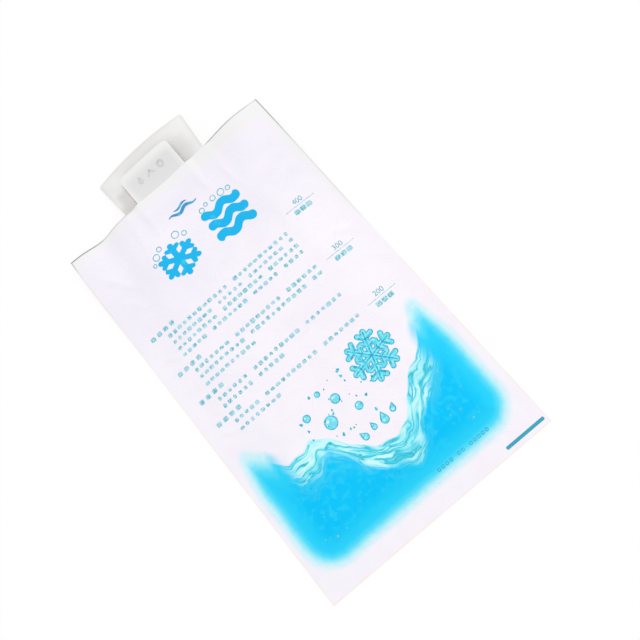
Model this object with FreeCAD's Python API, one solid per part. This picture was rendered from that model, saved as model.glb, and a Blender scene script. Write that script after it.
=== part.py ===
"""Reusable ice pack: a flat film pouch that is filled with water through a film valve.

Frame: millimetres, +Z up, +Y along the pouch towards the valve, +X to the right of it.
Origin: on the surface that the pack lies on, below the middle of its overall length and width.

The pack is dry and lies on its back. The pouch is two films sealed round their edge, with a thin
pillow of dry granules between them. The valve is a wide flap and a narrower tab in front of it.
Both are seated in the pouch's top seal, and the filling port is the gap between them.
"""

import FreeCAD, Part
import math
import os

# Pouch: outer size, film and sealed border
pouch_width = 140.0
pouch_length = 230.0
film_thickness = 0.2
side_seal_width = 6.0
bottom_seal_width = 8.0
top_seal_width = 12.0

# Pillow between the seals: its height over them and the width of its rounded edge
pillow_height = 3.0
pillow_shoulder = 27.0

# Curl: the top end leaves the surface along a line and rises to the top edge
curl_length = 75.0
top_lift = 4.6

# Wave of the top edge: heights of its ridge near the right corner, its valley near the left one
# and its sag at the valve, with their distances from the pouch's sides and their half widths
ridge_height = 8.2
ridge_inset = 19.0
ridge_half_width = 17.0
valley_height = 0.3
valley_inset = 22.0
valley_half_width = 10.2
sag_height = 2.0
sag_half_width = 24.0

# How far the wave draws the two top corners inward
left_draw_in = 1.3
right_draw_in = 0.7

# Valve: its film, its depth in the top seal, and how far the port between its two films gapes
valve_film_thickness = 0.25
valve_root_depth = 8.0
valve_clearance = 0.05
port_gap = 1.0
port_end_gap = 2.0
valve_fade_length = 16.0
drape_run = 5.0

# Flap: the valve's back film, wider at its free end, which arches between its two corners
flap_offset = 1.2
flap_root_width = 58.0
flap_end_width = 63.0
flap_reach = 25.8
flap_end_bow = 1.0
flap_corner_radius = 1.6
flap_left_height = 1.0
flap_middle_height = 4.5
flap_right_height = 3.0

# Tab: the valve's front film
tab_offset = -0.9
tab_width = 35.0
tab_reach = 18.2
tab_corner_radius = 2.8
tab_crown = 0.5

# Spacing of the heights that the film surfaces pass through, and how exactly a place is matched
grid_spacing = 2.9
match_distance = 0.01

# Places that follow from the sizes
overall_length = pouch_length + flap_reach + flap_end_bow
half_width = pouch_width / 2.0
bottom_edge_y = -overall_length / 2.0
top_edge_y = bottom_edge_y + pouch_length
valve_root_y = top_edge_y - valve_root_depth
flap_corner_y = top_edge_y + flap_reach
tab_end_y = top_edge_y + tab_reach
curl_start_y = top_edge_y - curl_length
ridge_x = half_width - ridge_inset
valley_x = valley_inset - half_width
seal_thickness = 2.0 * film_thickness
tall = 2.0 * (ridge_height + pillow_height + port_end_gap)


def smooth_step(share):
    """Rise from 0 to 1, level at both ends, while share goes from 0 to 1."""
    share = min(max(share, 0.0), 1.0)
    return share * share * (3.0 - 2.0 * share)


def bell(offset, bell_half_width):
    """Rounded bump of height 1, nearly gone at twice its half width."""
    return math.exp(-((offset / bell_half_width) ** 2))


def cover(x, centre, width):
    """1 across a strip's width, falling to 0 where a film draped over it meets its neighbour."""
    return smooth_step((width / 2.0 + drape_run - abs(x - centre)) / drape_run)


def edge_wave(x):
    """Height of the top edge's underside over the surface."""
    ridge = (ridge_height - top_lift) * bell(x - ridge_x, ridge_half_width)
    sag = (sag_height - top_lift) * bell(x - tab_offset, sag_half_width)
    crest = top_lift + ridge + sag
    return crest + (valley_height - crest) * bell(x - valley_x, valley_half_width)


def back_level(x, y):
    """Height of the pouch's back film: on the surface, and curling up to the wavy top edge."""
    return edge_wave(x) * smooth_step((y - curl_start_y) / curl_length)


def fill(x, y):
    """Share of the pillow's full height: 0 on the seals, 1 over the middle."""
    from_side = half_width - side_seal_width - abs(x)
    from_bottom = y - bottom_edge_y - bottom_seal_width
    from_top = top_edge_y - top_seal_width - y
    across = smooth_step(from_side / pillow_shoulder)
    along = smooth_step(from_bottom / pillow_shoulder) * smooth_step(from_top / pillow_shoulder)
    return across * along


def front_level(x, y):
    """Height of the pouch's front film, draped over the valve in the top seal."""
    over_flap = (valve_film_thickness + 2.0 * valve_clearance) * cover(x, flap_offset, flap_root_width)
    over_tab = (port_gap + valve_film_thickness) * cover(x, tab_offset, tab_width)
    near_valve = smooth_step((y - valve_root_y) / valve_fade_length + 1.0)
    seal = back_level(x, y) + seal_thickness
    return seal + (over_flap + over_tab) * near_valve + pillow_height * fill(x, y)


def flap_level(x, y):
    """Height of the flap's underside, from its root between the pouch's films to its free end."""
    outward = smooth_step((y - top_edge_y) / flap_reach)
    across = (x - flap_offset) / (flap_end_width / 2.0)
    seated = back_level(x, y) + film_thickness + valve_clearance
    slope = (flap_right_height - flap_left_height) / 2.0
    arch = flap_middle_height - (flap_right_height + flap_left_height) / 2.0
    free_end = flap_middle_height + slope * across - arch * across ** 2
    return seated + (free_end - seated) * outward


def tab_level(x, y):
    """Height of the tab's underside, over the flap by the port's gap, which opens outward."""
    outward = smooth_step((y - top_edge_y) / tab_reach)
    across = (x - tab_offset) / (tab_width / 2.0)
    opened = port_end_gap - port_gap + tab_crown * (1.0 - across ** 2)
    return flap_level(x, y) + valve_film_thickness + port_gap + opened * outward


def spaced(start, end):
    """Evenly spaced values from start to end, at about the grid's spacing."""
    count = max(4, round((end - start) / grid_spacing))
    return [start + (end - start) * index / count for index in range(count + 1)]


def film_surface(level, x_range, y_range):
    """Smooth face through the heights that a level function gives over a rectangle."""
    columns = [[FreeCAD.Vector(x, y, level(x, y)) for y in spaced(*y_range)] for x in spaced(*x_range)]
    surface = Part.BSplineSurface()
    surface.interpolate(columns)
    return surface.toShape()


def swept_up(face, height, start=0.0):
    """Solid that a face sweeps while it rises by a height, from a start above or below itself."""
    moved = face.copy()
    moved.translate(FreeCAD.Vector(0.0, 0.0, start))
    return moved.extrude(FreeCAD.Vector(0.0, 0.0, height))


def block(x_range, y_range):
    """Tall box over a rectangle of the surface, standing on it."""
    corner = FreeCAD.Vector(x_range[0], y_range[0], 0.0)
    return Part.makeBox(x_range[1] - x_range[0], y_range[1] - y_range[0], tall, corner)


def round_corners(prism, corners, radius):
    """Round the upright edges of a prism that stand at the given places in plan."""
    upright = [
        edge
        for edge in prism.Edges
        for x, y in corners
        if all(math.hypot(vertex.X - x, vertex.Y - y) < match_distance for vertex in edge.Vertexes)
    ]
    return prism.makeFillet(radius, upright)


def flap_prism():
    """Tall prism over the flap's outline: straight in the seal, flared outside it, with a bowed end."""
    root_x = flap_root_width / 2.0
    end_x = flap_end_width / 2.0
    plan = [(-root_x, valve_root_y), (-root_x, top_edge_y), (-end_x, flap_corner_y)]
    left = [FreeCAD.Vector(flap_offset + x, y, 0.0) for x, y in plan]
    right = [FreeCAD.Vector(flap_offset - x, y, 0.0) for x, y in plan]
    bow_top = FreeCAD.Vector(flap_offset, flap_corner_y + flap_end_bow, 0.0)
    sides = Part.makePolygon(left[::-1] + right).Edges
    end = Part.Arc(left[-1], bow_top, right[-1]).toShape()
    outline = Part.Wire(Part.sortEdges(sides + [end])[0])
    prism = Part.Face(outline).extrude(FreeCAD.Vector(0.0, 0.0, tall))
    return round_corners(prism, [(left[-1].x, left[-1].y), (right[-1].x, right[-1].y)], flap_corner_radius)


def tab_prism():
    """Tall prism over the tab's outline, with the two corners of its free end rounded."""
    x_range = (tab_offset - tab_width / 2.0, tab_offset + tab_width / 2.0)
    prism = block(x_range, (valve_root_y, tab_end_y))
    return round_corners(prism, [(x, tab_end_y) for x in x_range], tab_corner_radius)


def valve_pocket(face, width, centre, height, start):
    """Room for one of the valve's films in the top seal, open at the pouch's top edge."""
    reach = width / 2.0 + valve_clearance
    room = block((centre - reach, centre + reach), (valve_root_y - valve_clearance, tab_end_y))
    return swept_up(face, height, start).common(room)


def pouch_prism():
    """Tall prism over the pouch's outline: a rectangle whose sides bend in towards the top corners."""
    middle_y = (curl_start_y + top_edge_y) / 2.0
    corners = []
    bends = []
    for side, draw_in in ((-1.0, left_draw_in), (1.0, right_draw_in)):
        bottom, start, middle, top = (
            FreeCAD.Vector(side * x, y, 0.0)
            for x, y in (
                (half_width, bottom_edge_y),
                (half_width, curl_start_y),
                (half_width - draw_in / 4.0, middle_y),
                (half_width - draw_in, top_edge_y),
            )
        )
        corners.append((bottom, top))
        bends += [Part.makeLine(bottom, start), Part.Arc(start, middle, top).toShape()]
    (left_bottom, left_top), (right_bottom, right_top) = corners
    ends = [Part.makeLine(left_bottom, right_bottom), Part.makeLine(left_top, right_top)]
    outline = Part.Wire(Part.sortEdges(bends + ends)[0])
    return Part.Face(outline).extrude(FreeCAD.Vector(0.0, 0.0, tall))


def make_pouch(flap_face, tab_face):
    """The sealed pouch, flat up to its curled end, with the valve's pocket in its top seal."""
    margin = 2.0 * grid_spacing
    x_range = (-half_width - margin, half_width + margin)
    low_y = bottom_edge_y - margin
    high_y = top_edge_y + margin
    under_front = swept_up(film_surface(front_level, x_range, (low_y, high_y)), -tall)
    over_curl = swept_up(film_surface(back_level, x_range, (curl_start_y, high_y)), tall)
    over_back = block(x_range, (low_y, curl_start_y)).fuse(over_curl)
    pouch = pouch_prism().common(over_back).common(under_front)
    flap_room = valve_film_thickness + 2.0 * valve_clearance
    flap_pocket = valve_pocket(flap_face, flap_root_width, flap_offset, flap_room, -valve_clearance)
    port_floor = port_gap + valve_film_thickness / 2.0
    port_room = port_floor + valve_film_thickness + valve_clearance
    port = valve_pocket(tab_face, tab_width, tab_offset, port_room, -port_floor)
    return pouch.cut(flap_pocket.fuse(port))


def make_ice_pack():
    """Every piece of the ice pack, by name."""
    valve_x = (-half_width, half_width)
    valve_y = (valve_root_y - grid_spacing, max(flap_corner_y + flap_end_bow, tab_end_y) + grid_spacing)
    flap_face = film_surface(flap_level, valve_x, valve_y)
    tab_face = film_surface(tab_level, valve_x, valve_y)
    return {
        "pouch": make_pouch(flap_face, tab_face),
        "valve_flap": swept_up(flap_face, valve_film_thickness).common(flap_prism()),
        "valve_tab": swept_up(tab_face, valve_film_thickness).common(tab_prism()),
    }


os.makedirs("parts", exist_ok=True)
for name, shape in make_ice_pack().items():
    solid = shape.Solids[0] if len(shape.Solids) == 1 else shape
    solid.exportStep(f"parts/{name}.step")
    box = solid.BoundBox
    print(f"{name}: {len(shape.Solids)} solid, valid {solid.isValid()}, {solid.Volume:.0f} mm3,"
          f" x {box.XMin:.2f}..{box.XMax:.2f}, y {box.YMin:.2f}..{box.YMax:.2f}, z {box.ZMin:.2f}..{box.ZMax:.2f}")
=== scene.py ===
"""Looks of the reusable ice pack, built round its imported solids.

The pack is dry and lies on its back: two films sealed round their edge over a thin pillow of
granules, and a valve of two milky films seated in the top seal. The films follow the same heights
as the solids. Sizes in the classes are millimetres in the row's frame, and meshes are in metres.
"""

import logging
import math
import random
from collections.abc import Callable, Mapping, Sequence
from dataclasses import dataclass, field, replace
from enum import Enum

import bmesh
import bpy
import numpy as np
from mathutils import Matrix, Vector


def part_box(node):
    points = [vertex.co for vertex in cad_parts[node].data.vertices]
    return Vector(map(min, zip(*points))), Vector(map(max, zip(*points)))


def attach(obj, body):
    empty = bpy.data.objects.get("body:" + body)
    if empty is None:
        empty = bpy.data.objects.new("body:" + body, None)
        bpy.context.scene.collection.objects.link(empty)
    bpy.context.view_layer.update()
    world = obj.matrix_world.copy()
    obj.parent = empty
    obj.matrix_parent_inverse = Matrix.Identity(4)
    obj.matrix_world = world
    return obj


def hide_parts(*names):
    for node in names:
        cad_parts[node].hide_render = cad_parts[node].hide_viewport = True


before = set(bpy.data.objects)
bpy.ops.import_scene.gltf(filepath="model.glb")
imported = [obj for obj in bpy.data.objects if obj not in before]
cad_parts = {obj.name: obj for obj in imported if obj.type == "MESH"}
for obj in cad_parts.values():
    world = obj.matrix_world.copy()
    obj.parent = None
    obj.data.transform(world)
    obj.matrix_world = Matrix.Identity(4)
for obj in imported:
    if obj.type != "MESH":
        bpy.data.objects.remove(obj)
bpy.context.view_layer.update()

MM = 0.001
WHITE = (1.0, 1.0, 1.0, 1.0)
log = logging.getLogger("ice_pack")

# A box is left, bottom, right and top. A level gives the height at each x and y.
Pair = tuple[float, float]
Triple = tuple[float, float, float]
Box = tuple[float, float, float, float]
Steps = tuple[int, int]
Grid = np.ndarray
Level = Callable[[Grid, Grid], Grid]


class Side(Enum):
    """The pouch's two long sides, as the sign of their x."""

    LEFT = -1.0
    RIGHT = 1.0


class Tint(Enum):
    """Colours of the films and inks, in sRGB from 0 to 255."""

    FILM = (250, 245, 253)
    # The front film darkens towards this colour at its top left as painted shade; the back film shows it
    # in random clouds.
    FILM_COOL = (243, 240, 250)
    FILM_ROSE = (248, 240, 249)
    MARGIN = (243, 242, 243)
    # Grey line at the cut edge: painted shadow of the edge, partly the edge's own grey.
    CUT_EDGE_AND_SHADOW = (168, 163, 160)
    WARM_EDGE = (251, 236, 222)
    BACK_FILM = (240, 238, 243)
    VALVE = (240, 240, 238)
    # Duller tone of the valve films and signs in random clouds, and painted shadow on the flap beyond the
    # tab's end.
    VALVE_DULL_AND_SHADOW = (232, 231, 229)
    # Painted shade on the flap beside the tab.
    VALVE_PAINTED_SHADE = (216, 214, 212)
    VALVE_EDGE = (222, 220, 218)
    # Painted shade in the corner left of the tab.
    VALVE_CORNER_PAINTED_SHADE = (210, 206, 204)
    TAB = (239, 239, 239)
    # Painted shade on the tab, darkest near the mouth.
    TAB_PAINTED_SHADE = (228, 227, 228)
    # Darker grey of the raised signs, as painted shade of their relief.
    TAB_SIGN_PAINTED_SHADE = (200, 200, 199)
    FIELD_HALO = (208, 244, 252)
    FIELD_RIM = (156, 237, 252)
    FIELD_GLOW = (88, 223, 252)
    LIGHT_BLUE = (42, 213, 253)
    CLEAR_BLUE = (20, 206, 253)
    DEEP_BLUE = (1, 199, 253)
    FOAM = (214, 254, 255)
    PALE_CYAN = (152, 240, 249)
    CYAN = (80, 215, 239)
    WAVE_LINE = (52, 187, 211)
    TEAL = (40, 170, 202)
    ICE = (116, 222, 242)
    BRIGHT_BLUE = (29, 185, 240)
    MID_BLUE = (70, 150, 210)
    SMALL_PRINT = (98, 182, 196)
    SMALL_PRINT_BLUE = (164, 208, 230)
    SMALL_PRINT_PALE = (186, 232, 240)
    BUBBLE_LINE = (96, 190, 205)
    DASH_BLUE = (62, 192, 228)
    MARK_BAR = (70, 167, 192)

    def linear(self) -> tuple[float, float, float, float]:
        """Turns the colour into linear light, with the numbers of the sRGB standard.

        Returns:
            Red, green, blue and an alpha of 1.
        """
        shares = [part / 255.0 for part in self.value]
        red, green, blue = (
            share / 12.92 if share <= 0.04045 else ((share + 0.055) / 1.055) ** 2.4 for share in shares
        )
        return red, green, blue, 1.0


class Value:
    """A number, colour, vector or shader on its way between nodes; its operators add Math nodes."""

    def __init__(self, graph: "Graph", socket: bpy.types.NodeSocket) -> None:
        """Wraps one output socket of a graph."""
        self.graph = graph
        self.socket = socket

    def math(self, operation: str, *others: "Value | float") -> "Value":
        """Adds a Math node.

        Args:
            operation: The Math node's operation.
            others: The values after this one.

        Returns:
            The node's result.
        """
        inputs = dict(enumerate((self, *others)))
        return self.graph.node("ShaderNodeMath", {"operation": operation}, inputs)

    def __add__(self, other: "Value | float") -> "Value":
        """Adds."""
        return self.math("ADD", other)

    __radd__ = __add__

    def __mul__(self, other: "Value | float") -> "Value":
        """Multiplies."""
        return self.math("MULTIPLY", other)

    __rmul__ = __mul__

    def __sub__(self, other: "Value | float") -> "Value":
        """Subtracts."""
        return self.math("SUBTRACT", other)

    def __rsub__(self, other: float) -> "Value":
        """Subtracts this value from a number."""
        return (self * -1.0) + other

    def __truediv__(self, other: float) -> "Value":
        """Divides by a number."""
        return self * (1.0 / other)

    def __abs__(self) -> "Value":
        """Drops the sign."""
        return self.math("ABSOLUTE")

    def sine(self) -> "Value":
        """Takes the sine of this value in radians."""
        return self.math("SINE")

    def at_least(self, other: "Value | float") -> "Value":
        """Takes the larger of two values."""
        return self.math("MAXIMUM", other)

    def at_most(self, other: "Value | float") -> "Value":
        """Takes the smaller of two values."""
        return self.math("MINIMUM", other)

    def rise(self, start: float, end: float) -> "Value":
        """Gives a smooth rise from 0 to 1.

        Args:
            start: The value at which the result is 0.
            end: The value at which the result is 1, below start for a fall.

        Returns:
            The share from 0 to 1.
        """
        inputs = {"Value": self, "From Min": start, "From Max": end}
        return self.graph.node("ShaderNodeMapRange", {"interpolation_type": "SMOOTHSTEP"}, inputs)

    def axes(self) -> tuple["Value", "Value", "Value"]:
        """Splits a vector.

        Returns:
            Its x, y and z.
        """
        x = self.graph.node("ShaderNodeSeparateXYZ", inputs={0: self})
        y, z = (Value(self.graph, x.socket.node.outputs[axis]) for axis in "YZ")
        return x, y, z

    def scaled(self, factor: float) -> "Value":
        """Scales a vector."""
        return self.graph.node("ShaderNodeVectorMath", {"operation": "SCALE"}, {0: self, "Scale": factor})

    def noise(self, size: float, detail: float = 2.0, distortion: float = 0.0) -> "Value":
        """Reads soft noise at a vector.

        Args:
            size: Size of the noise's blotches, in the vector's unit.
            detail: Finer layers that are added.
            distortion: How much the blotches are swirled.

        Returns:
            The noise, from 0 to 1 and mostly near a half.
        """
        inputs = {"Vector": self, "Scale": 1.0 / size, "Detail": detail, "Distortion": distortion}
        return self.graph.node("ShaderNodeTexNoise", inputs=inputs)


Given = Value | float | Sequence[float]


class Graph:
    """The node tree of one material or world, with one method that adds any node."""

    specular = 0.1

    def __init__(self, owner: bpy.types.Material | bpy.types.World) -> None:
        """Empties a node tree.

        Args:
            owner: The material or world whose tree it is.
        """
        owner.use_nodes = True
        self.tree = owner.node_tree
        self.tree.nodes.clear()

    def node(
        self,
        kind: str,
        settings: Mapping[str, object] | None = None,
        inputs: Mapping[str | int, Given] | None = None,
        output: str | int = 0,
    ) -> Value:
        """Adds a node.

        Args:
            kind: Type of the node.
            settings: Its properties, which are set first; stops are a colour ramp's places and colours.
            inputs: Values or links of its sockets, by name or number.
            output: The output to give back.

        Returns:
            The chosen output.
        """
        made = self.tree.nodes.new(kind)
        for name, setting in (settings or {}).items():
            if name == "stops":
                self._set_stops(made.color_ramp, setting)
            else:
                setattr(made, name, setting)
        for name, given in (inputs or {}).items():
            if isinstance(given, Value):
                self.tree.links.new(given.socket, made.inputs[name])
            else:
                made.inputs[name].default_value = given
        return Value(self, made.outputs[output])

    def _set_stops(self, ramp: bpy.types.ColorRamp, stops: Sequence[tuple[float, Tint]]) -> None:
        """Gives a colour ramp its stops.

        Args:
            ramp: The ramp, with Blender's own two stops.
            stops: The place and the colour of each stop.
        """
        for _ in stops[2:]:
            ramp.elements.new(1.0)
        for element, (place, tint) in zip(ramp.elements, stops):
            element.position = place
            element.color = tint.linear()

    def millimetres(self) -> Value:
        """Gives the place on the object as a vector in millimetres."""
        return self.node("ShaderNodeTexCoord", output="Object").scaled(1.0 / MM)

    def vector(self, x: Given, y: Given, z: Given = 0.0) -> Value:
        """Joins three values into a vector."""
        return self.node("ShaderNodeCombineXYZ", inputs={0: x, 1: y, 2: z})

    def blend(self, share: Value | float, first: Value | Tint, second: Value | Tint) -> Value:
        """Blends two colours.

        Args:
            share: How much of the second colour shows.
            first: The colour at a share of 0.
            second: The colour at a share of 1.

        Returns:
            The blended colour.
        """
        sides = [side.linear() if isinstance(side, Tint) else side for side in (first, second)]
        inputs = {0: share, 6: sides[0], 7: sides[1]}
        return self.node("ShaderNodeMix", {"data_type": "RGBA"}, inputs, output=2)

    def relief(self, height: Value, depth: float, strength: float = 1.0) -> Value:
        """Turns a height into a shaded relief.

        Args:
            height: Height from 0 to 1 over the surface.
            depth: Millimetres that a height of 1 stands for.
            strength: Share of the relief that shows.

        Returns:
            The bent normal.
        """
        inputs = {"Height": height, "Distance": depth * MM, "Strength": strength}
        return self.node("ShaderNodeBump", inputs=inputs)

    def surface(self, **sockets: Given) -> None:
        """Ends the tree in one Principled surface.

        Args:
            sockets: Values or links of its sockets, with underscores for the spaces in their names.
        """
        named = {name.replace("_", " "): given for name, given in sockets.items()}
        named["Specular IOR Level"] = self.specular
        self.end(self.node("ShaderNodeBsdfPrincipled", inputs=named))

    def end(self, shader: Value, kind: str = "ShaderNodeOutputMaterial") -> None:
        """Links a shader to the tree's output."""
        self.tree.links.new(shader.socket, self.tree.nodes.new(kind).inputs["Surface"])


@dataclass(frozen=True)
class Mottle:
    """Soft blotches over a surface.

    Where they have limits, they show only past the first one, and in full from the second one on.
    """

    size: float
    amount: float = 1.0
    limits: Pair | None = None
    detail: float = 2.0
    distortion: float = 0.0

    def over(self, place: Value) -> Value:
        """Gives the blotches at a place, from 0 to their amount."""
        noise = place.noise(self.size, self.detail, self.distortion)
        return (noise.rise(*self.limits) if self.limits else noise) * self.amount

    def around(self, place: Value) -> Value:
        """Gives the blotches at a place, to both sides of 0 by up to half their amount."""
        return (place.noise(self.size, self.detail, self.distortion) - 0.5) * self.amount


@dataclass(frozen=True)
class Fade:
    """Amount that comes in smoothly from one place to another along a direction."""

    start: float
    end: float
    amount: float = 1.0

    def along(self, direction: Value) -> Value:
        """Gives the amount at a place along the direction."""
        return direction.rise(self.start, self.end) * self.amount


def total(fades: Sequence[Fade], direction: Value) -> Value:
    """Adds up several fades along one direction."""
    first, *others = (fade.along(direction) for fade in fades)
    return sum(others, first)


def smooth_step(share: Grid) -> Grid:
    """Rises from 0 to 1, level at both ends, while share goes from 0 to 1."""
    share = np.clip(share, 0.0, 1.0)
    return share * share * (3.0 - 2.0 * share)


def bell(offset: Grid, half_width: float) -> Grid:
    """Gives a rounded bump of height 1, nearly gone at twice its half width."""
    return np.exp(-((offset / half_width) ** 2))


@dataclass(frozen=True)
class BentWave:
    """Even wave whose ridges are bent by a longer wave."""

    length: float
    bend: float
    bend_length: float

    def height_at(self, along: Grid, beside: Grid) -> Grid:
        """Gives the wave's height, from -1 to 1."""
        return np.sin(along / self.length + self.bend * np.sin(beside / self.bend_length))


@dataclass(frozen=True)
class Crease:
    """Soft fold in the front film: a low bent ridge that fades towards both of its ends."""

    start: Pair
    end: Pair
    height: float = 0.26
    half_width: float = 1.7
    bow: float = 1.5
    fade: float = 0.35
    boldness: float = 1.35

    def height_at(self, x: Grid, y: Grid) -> Grid:
        """Gives how much the crease raises the film.

        Args:
            x: Places across the film.
            y: Places along the film.

        Returns:
            The rise at each place.
        """
        run_x, run_y = self.end[0] - self.start[0], self.end[1] - self.start[1]
        length = math.hypot(run_x, run_y)
        along = ((x - self.start[0]) * run_x + (y - self.start[1]) * run_y) / length**2
        held = np.clip(along, 0.0, 1.0)
        beside = ((x - self.start[0]) * run_y - (y - self.start[1]) * run_x) / length
        # The bow is a parabola, full half way along the crease.
        beside = beside + self.bow * 4.0 * held * (1.0 - held)
        faded = smooth_step(along / self.fade) * smooth_step((1.0 - along) / self.fade)
        return self.boldness * self.height * faded * bell(beside, self.half_width)


CREASES = (
    Crease((-63.5, -119.0), (-43.0, -95.0), 0.34, 2.0),
    Crease((-62.0, -106.0), (-48.0, -84.0), 0.2, 1.6, -1.0),
    Crease((63.5, -119.0), (44.0, -97.0), 0.32, 1.9, -1.6),
    Crease((47.0, -119.5), (33.0, -104.0), 0.2, 1.6),
    Crease((-63.0, 88.0), (-43.0, 60.0), 0.34, 2.0, -1.8),
    Crease((-63.0, 66.0), (-50.0, 50.0), 0.2, 1.6),
    Crease((62.5, 88.0), (41.0, 58.0), 0.36, 2.1, 2.0),
    Crease((63.5, 70.0), (52.0, 47.0), 0.22, 1.6),
    Crease((-29.0, 95.0), (-37.0, 62.0), 0.26, 1.8, 2.2),
    Crease((31.0, 95.0), (36.0, 60.0), 0.28, 1.8, -2.2),
    Crease((-19.0, 96.0), (-22.0, 74.0), 0.2, 1.5),
    Crease((17.0, 96.0), (19.0, 76.0), 0.2, 1.5, -1.0),
    Crease((-64.0, 24.0), (-50.0, 15.0), 0.22, 1.6),
    Crease((-64.0, -24.0), (-49.0, -33.0), 0.24, 1.7, -1.2),
    Crease((64.0, 12.0), (51.0, 18.0), 0.22, 1.6),
    Crease((64.0, -52.0), (50.0, -44.0), 0.24, 1.7),
    Crease((-21.0, -120.0), (-15.0, -104.0), 0.2, 1.6),
    Crease((13.0, -120.0), (9.0, -106.0), 0.2, 1.6, -1.0),
)


@dataclass(frozen=True)
class PackForm:
    """Heights and outlines of the ice pack's films, as its solids have them.

    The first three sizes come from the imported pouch, and the next ones repeat the solids' own. The
    last group, from the slack wave on, is the film's fine unevenness, which the solids leave out.
    """

    half_width: float
    bottom_y: float
    top_y: float
    film: float = 0.2
    side_seal: float = 6.0
    bottom_seal: float = 8.0
    top_seal: float = 12.0
    pillow_height: float = 3.0
    shoulder: float = 27.0
    curl_length: float = 75.0
    top_lift: float = 4.6
    ridge_height: float = 8.2
    ridge_inset: float = 19.0
    ridge_half_width: float = 17.0
    valley_height: float = 0.3
    valley_inset: float = 22.0
    valley_half_width: float = 10.2
    sag_height: float = 2.0
    sag_half_width: float = 24.0
    left_draw_in: float = 1.3
    right_draw_in: float = 0.7
    valve_film: float = 0.25
    valve_root_depth: float = 8.0
    valve_clearance: float = 0.05
    port_gap: float = 1.0
    port_end_gap: float = 2.0
    valve_fade_length: float = 16.0
    drape_run: float = 5.0
    flap_offset: float = 1.2
    flap_root_width: float = 58.0
    flap_end_width: float = 63.0
    flap_reach: float = 25.8
    flap_end_bow: float = 1.0
    flap_corner: float = 1.6
    flap_left_height: float = 1.0
    flap_middle_height: float = 4.5
    flap_right_height: float = 3.0
    tab_offset: float = -0.9
    tab_width: float = 35.0
    tab_reach: float = 18.2
    tab_corner: float = 2.8
    tab_crown: float = 0.5
    slack_wave: BentWave = BentWave(8.3, 0.9, 27.0)
    slack_height: float = 0.19
    slack_row: float = 14.0
    slack_start: float = 0.8
    crossing_wave: BentWave = BentWave(9.5, 1.3, 21.0)
    crossing_height: float = 0.12
    crossing_slant: float = 1.6
    pucker_wave: BentWave = BentWave(2.1, 1.7, 11.0)
    pucker_height: float = 0.1
    pucker_inset: float = 5.0
    pucker_half_width: float = 4.0
    pucker_end_fade: float = 12.0
    pucker_side_fade: float = 3.0

    @classmethod
    def from_frame(cls) -> "PackForm":
        """Reads the pouch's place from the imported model."""
        low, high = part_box("pouch")
        return cls(half_width=(high.x - low.x) / 2.0 / MM, bottom_y=low.y / MM, top_y=high.y / MM)

    @property
    def curl_start_y(self) -> float:
        """Where the pouch begins to leave the surface."""
        return self.top_y - self.curl_length

    @property
    def valve_root_y(self) -> float:
        """Where the valve's films end between the pouch's films."""
        return self.top_y - self.valve_root_depth

    def side_x(self, y: Grid, side: Side) -> Grid:
        """Gives where a side of the pouch is.

        Args:
            y: Places along the pouch.
            side: The side.

        Returns:
            The side's x at each place.
        """
        draw_in = self.left_draw_in if side is Side.LEFT else self.right_draw_in
        curled = np.clip((y - self.curl_start_y) / self.curl_length, 0.0, 1.0)
        return side.value * (self.half_width - draw_in * curled**2)

    def edge_wave(self, x: Grid) -> Grid:
        """Gives the height of the top edge's underside.

        Args:
            x: Places across the film.

        Returns:
            The height at each place.
        """
        ridge_x = self.half_width - self.ridge_inset
        valley_x = self.valley_inset - self.half_width
        ridge = (self.ridge_height - self.top_lift) * bell(x - ridge_x, self.ridge_half_width)
        sag = (self.sag_height - self.top_lift) * bell(x - self.tab_offset, self.sag_half_width)
        crest = self.top_lift + ridge + sag
        return crest + (self.valley_height - crest) * bell(x - valley_x, self.valley_half_width)

    def back_level(self, x: Grid, y: Grid) -> Grid:
        """Gives the height of the pouch's underside."""
        return self.edge_wave(x) * smooth_step((y - self.curl_start_y) / self.curl_length)

    def inside_seals(self, x: Grid, y: Grid) -> tuple[Grid, Grid, Grid]:
        """Gives how far places are inside the side, bottom and top seals.

        Args:
            x: Places across the film.
            y: Places along the film.

        Returns:
            The three distances, negative on the seals.
        """
        from_side = self.half_width - self.side_seal - np.abs(x)
        return from_side, y - self.bottom_y - self.bottom_seal, self.top_y - self.top_seal - y

    def fill(self, x: Grid, y: Grid) -> Grid:
        """Gives the share of the pillow's full height: 0 on the seals, 1 over the middle."""
        side, bottom, top = (smooth_step(inside / self.shoulder) for inside in self.inside_seals(x, y))
        return side * bottom * top

    def slack(self, x: Grid, y: Grid) -> Grid:
        """Gives the front film's unevenness.

        Args:
            x: Places across the film.
            y: Places along the film.

        Returns:
            The height of its slack waves, of the small puckers along its sides and of its creases.
        """
        from_side, from_bottom, from_top = self.inside_seals(x, y)
        waves = self.slack_wave.height_at(x, y) * np.sin(y / self.slack_row + self.slack_start)
        crossing = self.crossing_wave.height_at(x + self.crossing_slant * y, x)
        waves = self.slack_height * waves + self.crossing_height * crossing
        puckers = self.pucker_height * self.pucker_wave.height_at(y, y)
        puckers = puckers * bell(from_side - self.pucker_inset, self.pucker_half_width)
        puckers = puckers * (
            smooth_step(from_bottom / self.pucker_end_fade) * smooth_step(from_top / self.pucker_end_fade)
        )
        creases = sum(crease.height_at(x, y) for crease in CREASES)
        puckers = puckers * smooth_step(from_side / self.pucker_side_fade)
        return waves * self.fill(x, y) + puckers + creases

    def cover(self, x: Grid, centre: float, width: float) -> Grid:
        """Gives the share of a valve film's thickness that lifts the front film over and beside it."""
        return smooth_step((width / 2.0 + self.drape_run - np.abs(x - centre)) / self.drape_run)

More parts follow.
